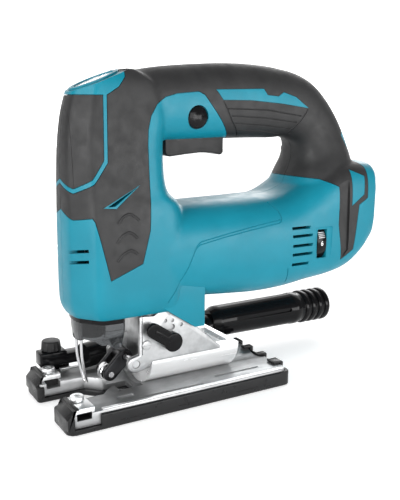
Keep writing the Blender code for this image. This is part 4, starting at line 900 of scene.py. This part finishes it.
# ------------ Roller arm, roller and wire guard
# The forked arm swings on a pin through the casting and carries a hardened
# roller with a groove for the blade's back. The guard is one bent spring wire.
def lathe(profile, centre, axis):
    """A closed profile of (radius, along) spun round the X or Y axis, in millimetres."""
    count = len(profile)
    spots = [(along, 0, radius) if axis == "X" else (0, along, radius) for radius, along in profile]
    piece = mesh_piece("profile", spots, [(i, (i + 1) % count) for i in range(count)], [])
    along = {"X": (1, 0, 0), "Y": (0, 1, 0)}[axis]
    turned = {"steps": 72, "angle": 2 * pi, "center": (0, 0, 0), "axis": along}
    in_edit_mode(piece, (bpy.ops.mesh.spin, turned), weld(0.000005), FACES_OUT)
    piece.data.transform(Matrix.Translation([c * MM for c in centre]))
    return piece


fork = bar(ARM_PIN, "Y", -6.6, 6.6, 4.6, bevel=0.5)
for low, high in ((-6.6, -3.6), (3.6, 6.6)):
    plate = prism(capsule(ARM_PIN[::2], ROLLER_PIN[::2], 4.6, 4.4), "Y", low, high, 0.45)
    combine(fork, plate, "UNION")
combine(fork, bar(ARM_PIN, "Y", -30, 30, 2.45))
combine(fork, bar(ROLLER_PIN, "Y", -30, 30, 2.1))
ride_as(named(fork, "roller_fork"), "arm", ["roller_arm"], black_oxide)
rim = [
    (2.05, -3), (4.9, -3), (5.4, -2.5), (5.4, -1.1), (4.2, -0.5), (4.2, 0.5), (5.4, 1.1), (5.4, 2.5),
    (4.9, 3),
    (2.05, 3),
]
ride_as(named(lathe(rim, ROLLER_PIN, "Y"), "grooved_roller"), "roller", ["roller"], ground_steel)
near = [
    (-55.7, -4, 76.5), (-55.7, -4, 50), (-55.7, -4, 34), (-54.8, -3.8, 27), (-53.2, -2.9, 19),
    (-52.2, -1.9, 15.4), (-51.7, -0.7, 14.2),
]
route = [Vector(spot) * MM for spot in near + [(x, -y, z) for x, y, z in reversed(near)]]
wire = named(rope(route, 0.9, resolution=5), "guard_wire")
ride_as(wire, "tool", ["wire_guard"], ground_steel, 60)


# ------------ Dust cover
# A visor of clear smoked polycarbonate that slides up into the nose. A black
# moulded frame runs round it under the shells.
smoked_clear = blank_look("smoked_polycarbonate", (0.10, 0.105, 0.11, 1), 0.05)
smoked_clear.node_tree.nodes["Principled BSDF"].inputs["Transmission Weight"].default_value = 0.88
smoked_clear.node_tree.nodes["Principled BSDF"].inputs["IOR"].default_value = 1.36
add_mottle(smoked_clear, "Roughness", 120, 0.03, 0.10)
VISOR = [(74, 2.8, 3.2), (60, 2.8, 3.2), (51, 2.8, 3.2), (45.5, 3.2, 5.4), (36.8, 3.8, 9.6)]


def visor_form(inset, stretch, rows):
    """The visor's solid form, pulled in by an inset and stretched at both ends."""
    rings = []
    for k, (z, setback, narrow) in enumerate(rows):
        z += stretch if k == 0 else -stretch if k == len(rows) - 1 else 0
        plan = plan_section(NOSE_X + setback + 3.1 + inset, 3.8, 27 - narrow - 3.1 - inset)
        rings.append([(a, b, z) for a, b in plan])
    return skin_over(rings, "visor")


visor = combine(visor_form(0, 0, VISOR), visor_form(1.4, 2, VISOR), solver="EXACT")
combine(visor, block((-34.5, -40, 20), (30, 40, 90)), solver="EXACT")
rim_line = [
    (-70, 30), (-70, 40.2), (-61, 40.8), (-55.5, 44.8), (-50.5, 43.6), (-46.8, 41.0), (-43, 41.4),
    (-38.5, 37.4),
    (-30, 37.4), (-30, 30),
]
combine(visor, prism(rim_line, "Y", -40, 40), solver="EXACT")
named(edge_break(visor, 0.25, 50), "dust_visor")
ride_as(visor, "cover", ["dust_cover"], smoked_clear, 20)
BAND = [(59.5, 2.8, 3.2), (55.2, 2.8, 3.2)]
band = combine(visor_form(-0.75, 0, BAND), visor_form(0.05, 2, BAND), solver="EXACT")
combine(band, block((-35.5, -40, 20), (30, 40, 90)), solver="EXACT")
named(edge_break(band, 0.2, 50), "dust_visor_frame")
ride_as(band, "cover", ["dust_cover"], gloss_acetal, 20)


# ------------ Base plate
# Pressed and ground aluminium with a round trough that the saddle turns in.
# It has bright lips along its sides, two raised toes slotted for the rip
# fence, a thin black box of painted shade in each slot, and a screw in each toe.
def sole_plan(margin, notch_rear):
    """The sole's outline from below, with the blade's notch and slit."""
    length, width = 77.7 - margin, 38.5 - margin
    notch, slit = 13.5 + margin, 4.5 + margin
    neck = notch_rear - 16
    near = [
        (-length, -width + 5), (-length + 0.4, -width + 3), (-length + 1.5, -width + 1.5),
        (-length + 3, -width + 0.4), (-length + 5, -width),
    ]
    near += [(-a, b) for a, b in reversed(near)]
    far = [(x, -y) for x, y in reversed(near)]
    mouth = [
        (-length, notch + 2), (-length + 0.6, notch + 0.6), (-length + 2, notch), (neck - 9, notch),
        (neck - 3, slit + (notch - slit) * 0.3), (neck, slit), (notch_rear, slit),
    ]
    return near + far + mouth + [(x, -y) for x, y in reversed(mouth)]


def fence_slot(bevel=0.0):
    """The space for the rip fence's bar, across both toes."""
    return block((FENCE_X - 4.5, -60, 7.5), (FENCE_X + 4.5, 60, 11.9), bevel)


FENCE_X, TOE_FRONT, TOE_SCREW_Y = -67.2, -73.7, 25.0
deck = prism(sole_plan(2.0, -22), "Z", 2.9, 11.0, 0.5, 2)
for hand in (-1, 1):
    combine(deck, side_block(hand, (-30, 30.5, 10.2), (14, 33.0, 15), 0.4))
combine(deck, bar(SADDLE_AXIS, "X", -21, 160, 21.8, sides=128))
combine(deck, bar(SADDLE_AXIS, "X", -36, -20, 24.1, sides=96))
combine(deck, fence_slot(0.3))
combine(deck, bar((10, 0, 0), "Z", -1, 12, 4.5))
for hand in (-1, 1):
    y = hand * TOE_SCREW_Y
    combine(deck, bar((FENCE_X, y, 0), "Z", 11.6, 20, 2.5, sides=32))
    combine(deck, block((26, y - 1.1, 10.2), (60, y + 1.1, 15), 0.2))
    combine(deck, prism(capsule((-40, y), (-33, y), 2.0, 2.0), "Z", 9.8, 15))
rolled_alloy = blank_look("rolled_alloy", (0.40, 0.405, 0.41, 1), 0.5, 1.0)
add_mottle(rolled_alloy, "Base Color", 90, (0.36, 0.365, 0.37, 1), (0.46, 0.465, 0.47, 1))
add_mottle(rolled_alloy, "Roughness", 300, 0.42, 0.58, (0.08, 1, 1))
add_grain(rolled_alloy, 900, 0.00002, 0.3, (0.06, 1, 1))
bright_alloy = blank_look("bright_alloy", (0.90, 0.905, 0.91, 1), 0.36, 1.0)
add_mottle(bright_alloy, "Roughness", 120, 0.31, 0.42)
lips = []
for hand in (-1, 1):
    lips.append(side_block(hand, (-56, 34.0, 11.0), (72, 36.35, 11.8), 0.25))
    toe = side_block(hand, (TOE_FRONT, 19.5, 11.0), (TOE_FRONT + 13, 36.5, 14.6), 0.7)
    combine(toe, fence_slot())
    combine(toe, bar((FENCE_X, hand * TOE_SCREW_Y, 0), "Z", 11, 20, 2.5, sides=32))
    lips.append(toe)
ride_as(named(join_all(lips), "deck_lips"), "base", ["base"], bright_alloy)
# Painted shade: a thin black box lines each fence slot and stands for the shadow inside it.
slot_shade_sheets = []
for hand in (-1, 1):
    slot_shade_sheet = side_block(hand, (FENCE_X - 4.45, 20.0, 7.55), (FENCE_X + 4.45, 36.2, 11.6))
    combine(slot_shade_sheet, side_block(hand, (FENCE_X - 4.1, 21.0, 7.9), (FENCE_X + 4.1, 38.0, 11.3)))
    slot_shade_sheets.append(slot_shade_sheet)
ride_as(named(join_all(slot_shade_sheets), "fence_slot_painted_shade"), "base", ["base"], black_nylon)
ride_as(named(deck, "base_deck"), "base", ["base"], rolled_alloy)
for hand, word in HANDS:
    place = (FENCE_X, hand * TOE_SCREW_Y, 0)
    screw = bar(place, "Z", 12.2, 16.6, 2.2, sides=32)
    combine(screw, bar(place, "Z", 14.9, 18.0, 4.0, sides=48, bevel=0.45), "UNION")
    combine(screw, bar(place, "Z", 16.0, 20, 2.0, sides=6))
    ride_as(named(screw, "toe_screw_" + word), "base", ["fence_screw_" + word], bright_alloy)


# ------------ Clip-on shoe
# A slippery black acetal tray that clips round the base, with a cap in front
# of each toe and four lugs that hook over its rear edge.
shoe = prism(sole_plan(0, -25), "Z", 0, 9.6, 0.9, 3)
combine(shoe, prism(sole_plan(1.7, -22), "Z", 2.6, 15))
combine(shoe, block((-73.6, -60, 2.7), (-57.5, 60, 12)))
combine(shoe, block((-69, -17.5, 3.0), (-20, 17.5, 12)))
cap_line = [
    (-77.7, 3), (-77.7, 9.6), (-76.6, 11.0), (-72.4, 15.4), (-70.8, 15.4), (-70.8, 14.8), (-73.9, 14.8),
    (-73.9, 3),
]
for hand in (-1, 1):
    low, high = sorted((hand * 17.4, hand * 38.5))
    combine(shoe, prism(cap_line, "Y", low, high, 0.5, 3), "UNION")
combine(shoe, bar((10, 0, 0), "Z", -1, 3.6, 5.7))
lug_line = [(76, 2), (78.6, 2), (78.6, 12.0), (77.8, 12.8), (70.7, 12.8), (70.7, 11.3), (76, 11.3)]
for y, reach in ((-24, 4), (-7.5, 2), (9, 2), (24, 4)):
    combine(shoe, prism(lug_line, "Y", y - reach, y + reach, 0.35), "UNION")
for hand in (-1, 1):
    for x in (-46, -8, 34):
        combine(shoe, block((x, hand * 38.6 - 0.5, 3.4), (x + 16, hand * 38.6 + 0.5, 4.4), 0.2))
shoe_acetal = blank_look("shoe_acetal", (0.012, 0.012, 0.0125, 1), 0.34, specular=0.2)
add_mottle(shoe_acetal, "Roughness", 150, 0.26, 0.46)
add_grain(shoe_acetal, 700, 0.00003, 0.3, (0.25, 1, 1))
ride_as(named(shoe, "clip_shoe"), "base", ["cover_shoe"], shoe_acetal)


# ------------ Dust nozzle
# One gloss moulding: a hose spigot with four grip ribs, a duct that runs
# forward beside the saddle, and a foot clamped to the right toe by a knob.
SPIGOT, KNOB = (0, 36.5, 25), (-61, 36.5, 0)
spigot_line = [(10.4, 64), (10.4, 165.3), (11.5, 165.5), (11.9, 165.2)]
for k in range(4):
    rear = 164.3 - 6.4 * k
    spigot_line += [
        (12.6, rear), (12.9, rear - 0.6), (12.9, rear - 2.8), (12.5, rear - 3.6), (11.7, rear - 4.0),
        (11.7, rear - 5.8),
    ]
spigot_line += [
    (11.9, 137.5), (12.4, 136.5), (12.4, 131.5), (11.9, 130.5), (11.5, 66), (11.2, 62), (8.7, 58), (0.4, 58),
    (0.4, 64),
]
spigot = lathe(spigot_line, SPIGOT, "X")
duct_line = (
    (61, 36.5, 23), (46, 36.2, 22.2), (30, 35.5, 21.5), (10, 34.6, 20.9), (-10, 33.5, 20.5),
    (-28, 31.2, 20.2),
    (-42, 28.5, 20),
)
additions = (
    bar(SPIGOT, "X", 58.6, 63, 3, sides=24),
    rope([Vector(spot) * MM for spot in duct_line], 8.3, resolution=8),
    block((-70, 30.5, 15.5), (-52, 41.5, 25), 1.3),
    block((-56, 30.5, 15.5), (-38, 41.5, 22.5), 1.3),
    block((-59, 38.8, 6), (-48, 41.3, 17.6), 0.8),
)
for addition in additions:
    combine(spigot, addition, "UNION", solver="EXACT")
channel = prism(capsule((78, 27.6), (126, 27.6), 1.5, 1.5), "Y", 20, 26.0)
combine(spigot, channel, solver="EXACT")
ride_as(named(spigot, "dust_spigot"), "base", ["dust_nozzle"], gloss_acetal)
knob = bar(KNOB, "Z", 25.3, 31.6, 6.6, 5.8, 72, 0.8)
for k in range(9):
    angle = 2 * pi * k / 9
    place = (KNOB[0] + 7.7 * cos(angle), KNOB[1] + 7.7 * sin(angle), 0)
    combine(knob, bar(place, "Z", 21, 31, 1.9, sides=24))
ride_as(named(knob, "nozzle_knob_moulding"), "knob", ["nozzle_knob"], black_nylon)


# ------------ Drive, switch and battery terminals
# These pieces keep the frame's own shapes: turned and hobbed steel, copper
# windings, a nylon fan, the switch block, the board and the rail mount.
laminated = blank_look("laminated_steel", (0.42, 0.42, 0.43, 1), 0.42, 1.0)
add_mottle(laminated, "Roughness", 60, 0.3, 0.6, (30, 1, 1))
add_grain(laminated, 60, 0.00008, 0.6, (30, 1, 1))
enamel_copper = blank_look("enamelled_copper", (0.62, 0.27, 0.11, 1), 0.34, 1.0)
add_mottle(enamel_copper, "Roughness", 800, 0.25, 0.45, (1, 1, 4))
add_grain(enamel_copper, 900, 0.0001, 0.6, (1, 0.2, 0.2))
board_lacquer = blank_look("board_lacquer", (0.012, 0.12, 0.05, 1), 0.3)
add_mottle(board_lacquer, "Base Color", 400, (0.010, 0.10, 0.04, 1), (0.016, 0.15, 0.06, 1))
add_grain(board_lacquer, 500, 0.0001, 0.3)
STEEL_NODES = "crank_gear motor_shaft pinion upper_guide lower_guide bearing_front bearing_rear orbital_cam"
for look, nodes in (
    (ground_steel, STEEL_NODES + " arm_pin roller_pin"),
    (laminated, "rotor_core stator"),
    (enamel_copper, "winding_front winding_rear battery_contact_1 battery_contact_2 battery_contact_3"),
    (black_nylon, "fan switch_body battery_rails"),
    (board_lacquer, "control_board"),
    (black_oxide, "base_clamp_bolt"),
    (smoked_clear, "splinter_guard"),
):
    for node in nodes.split():
        for slot_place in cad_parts[node].material_slots:
            slot_place.material = look
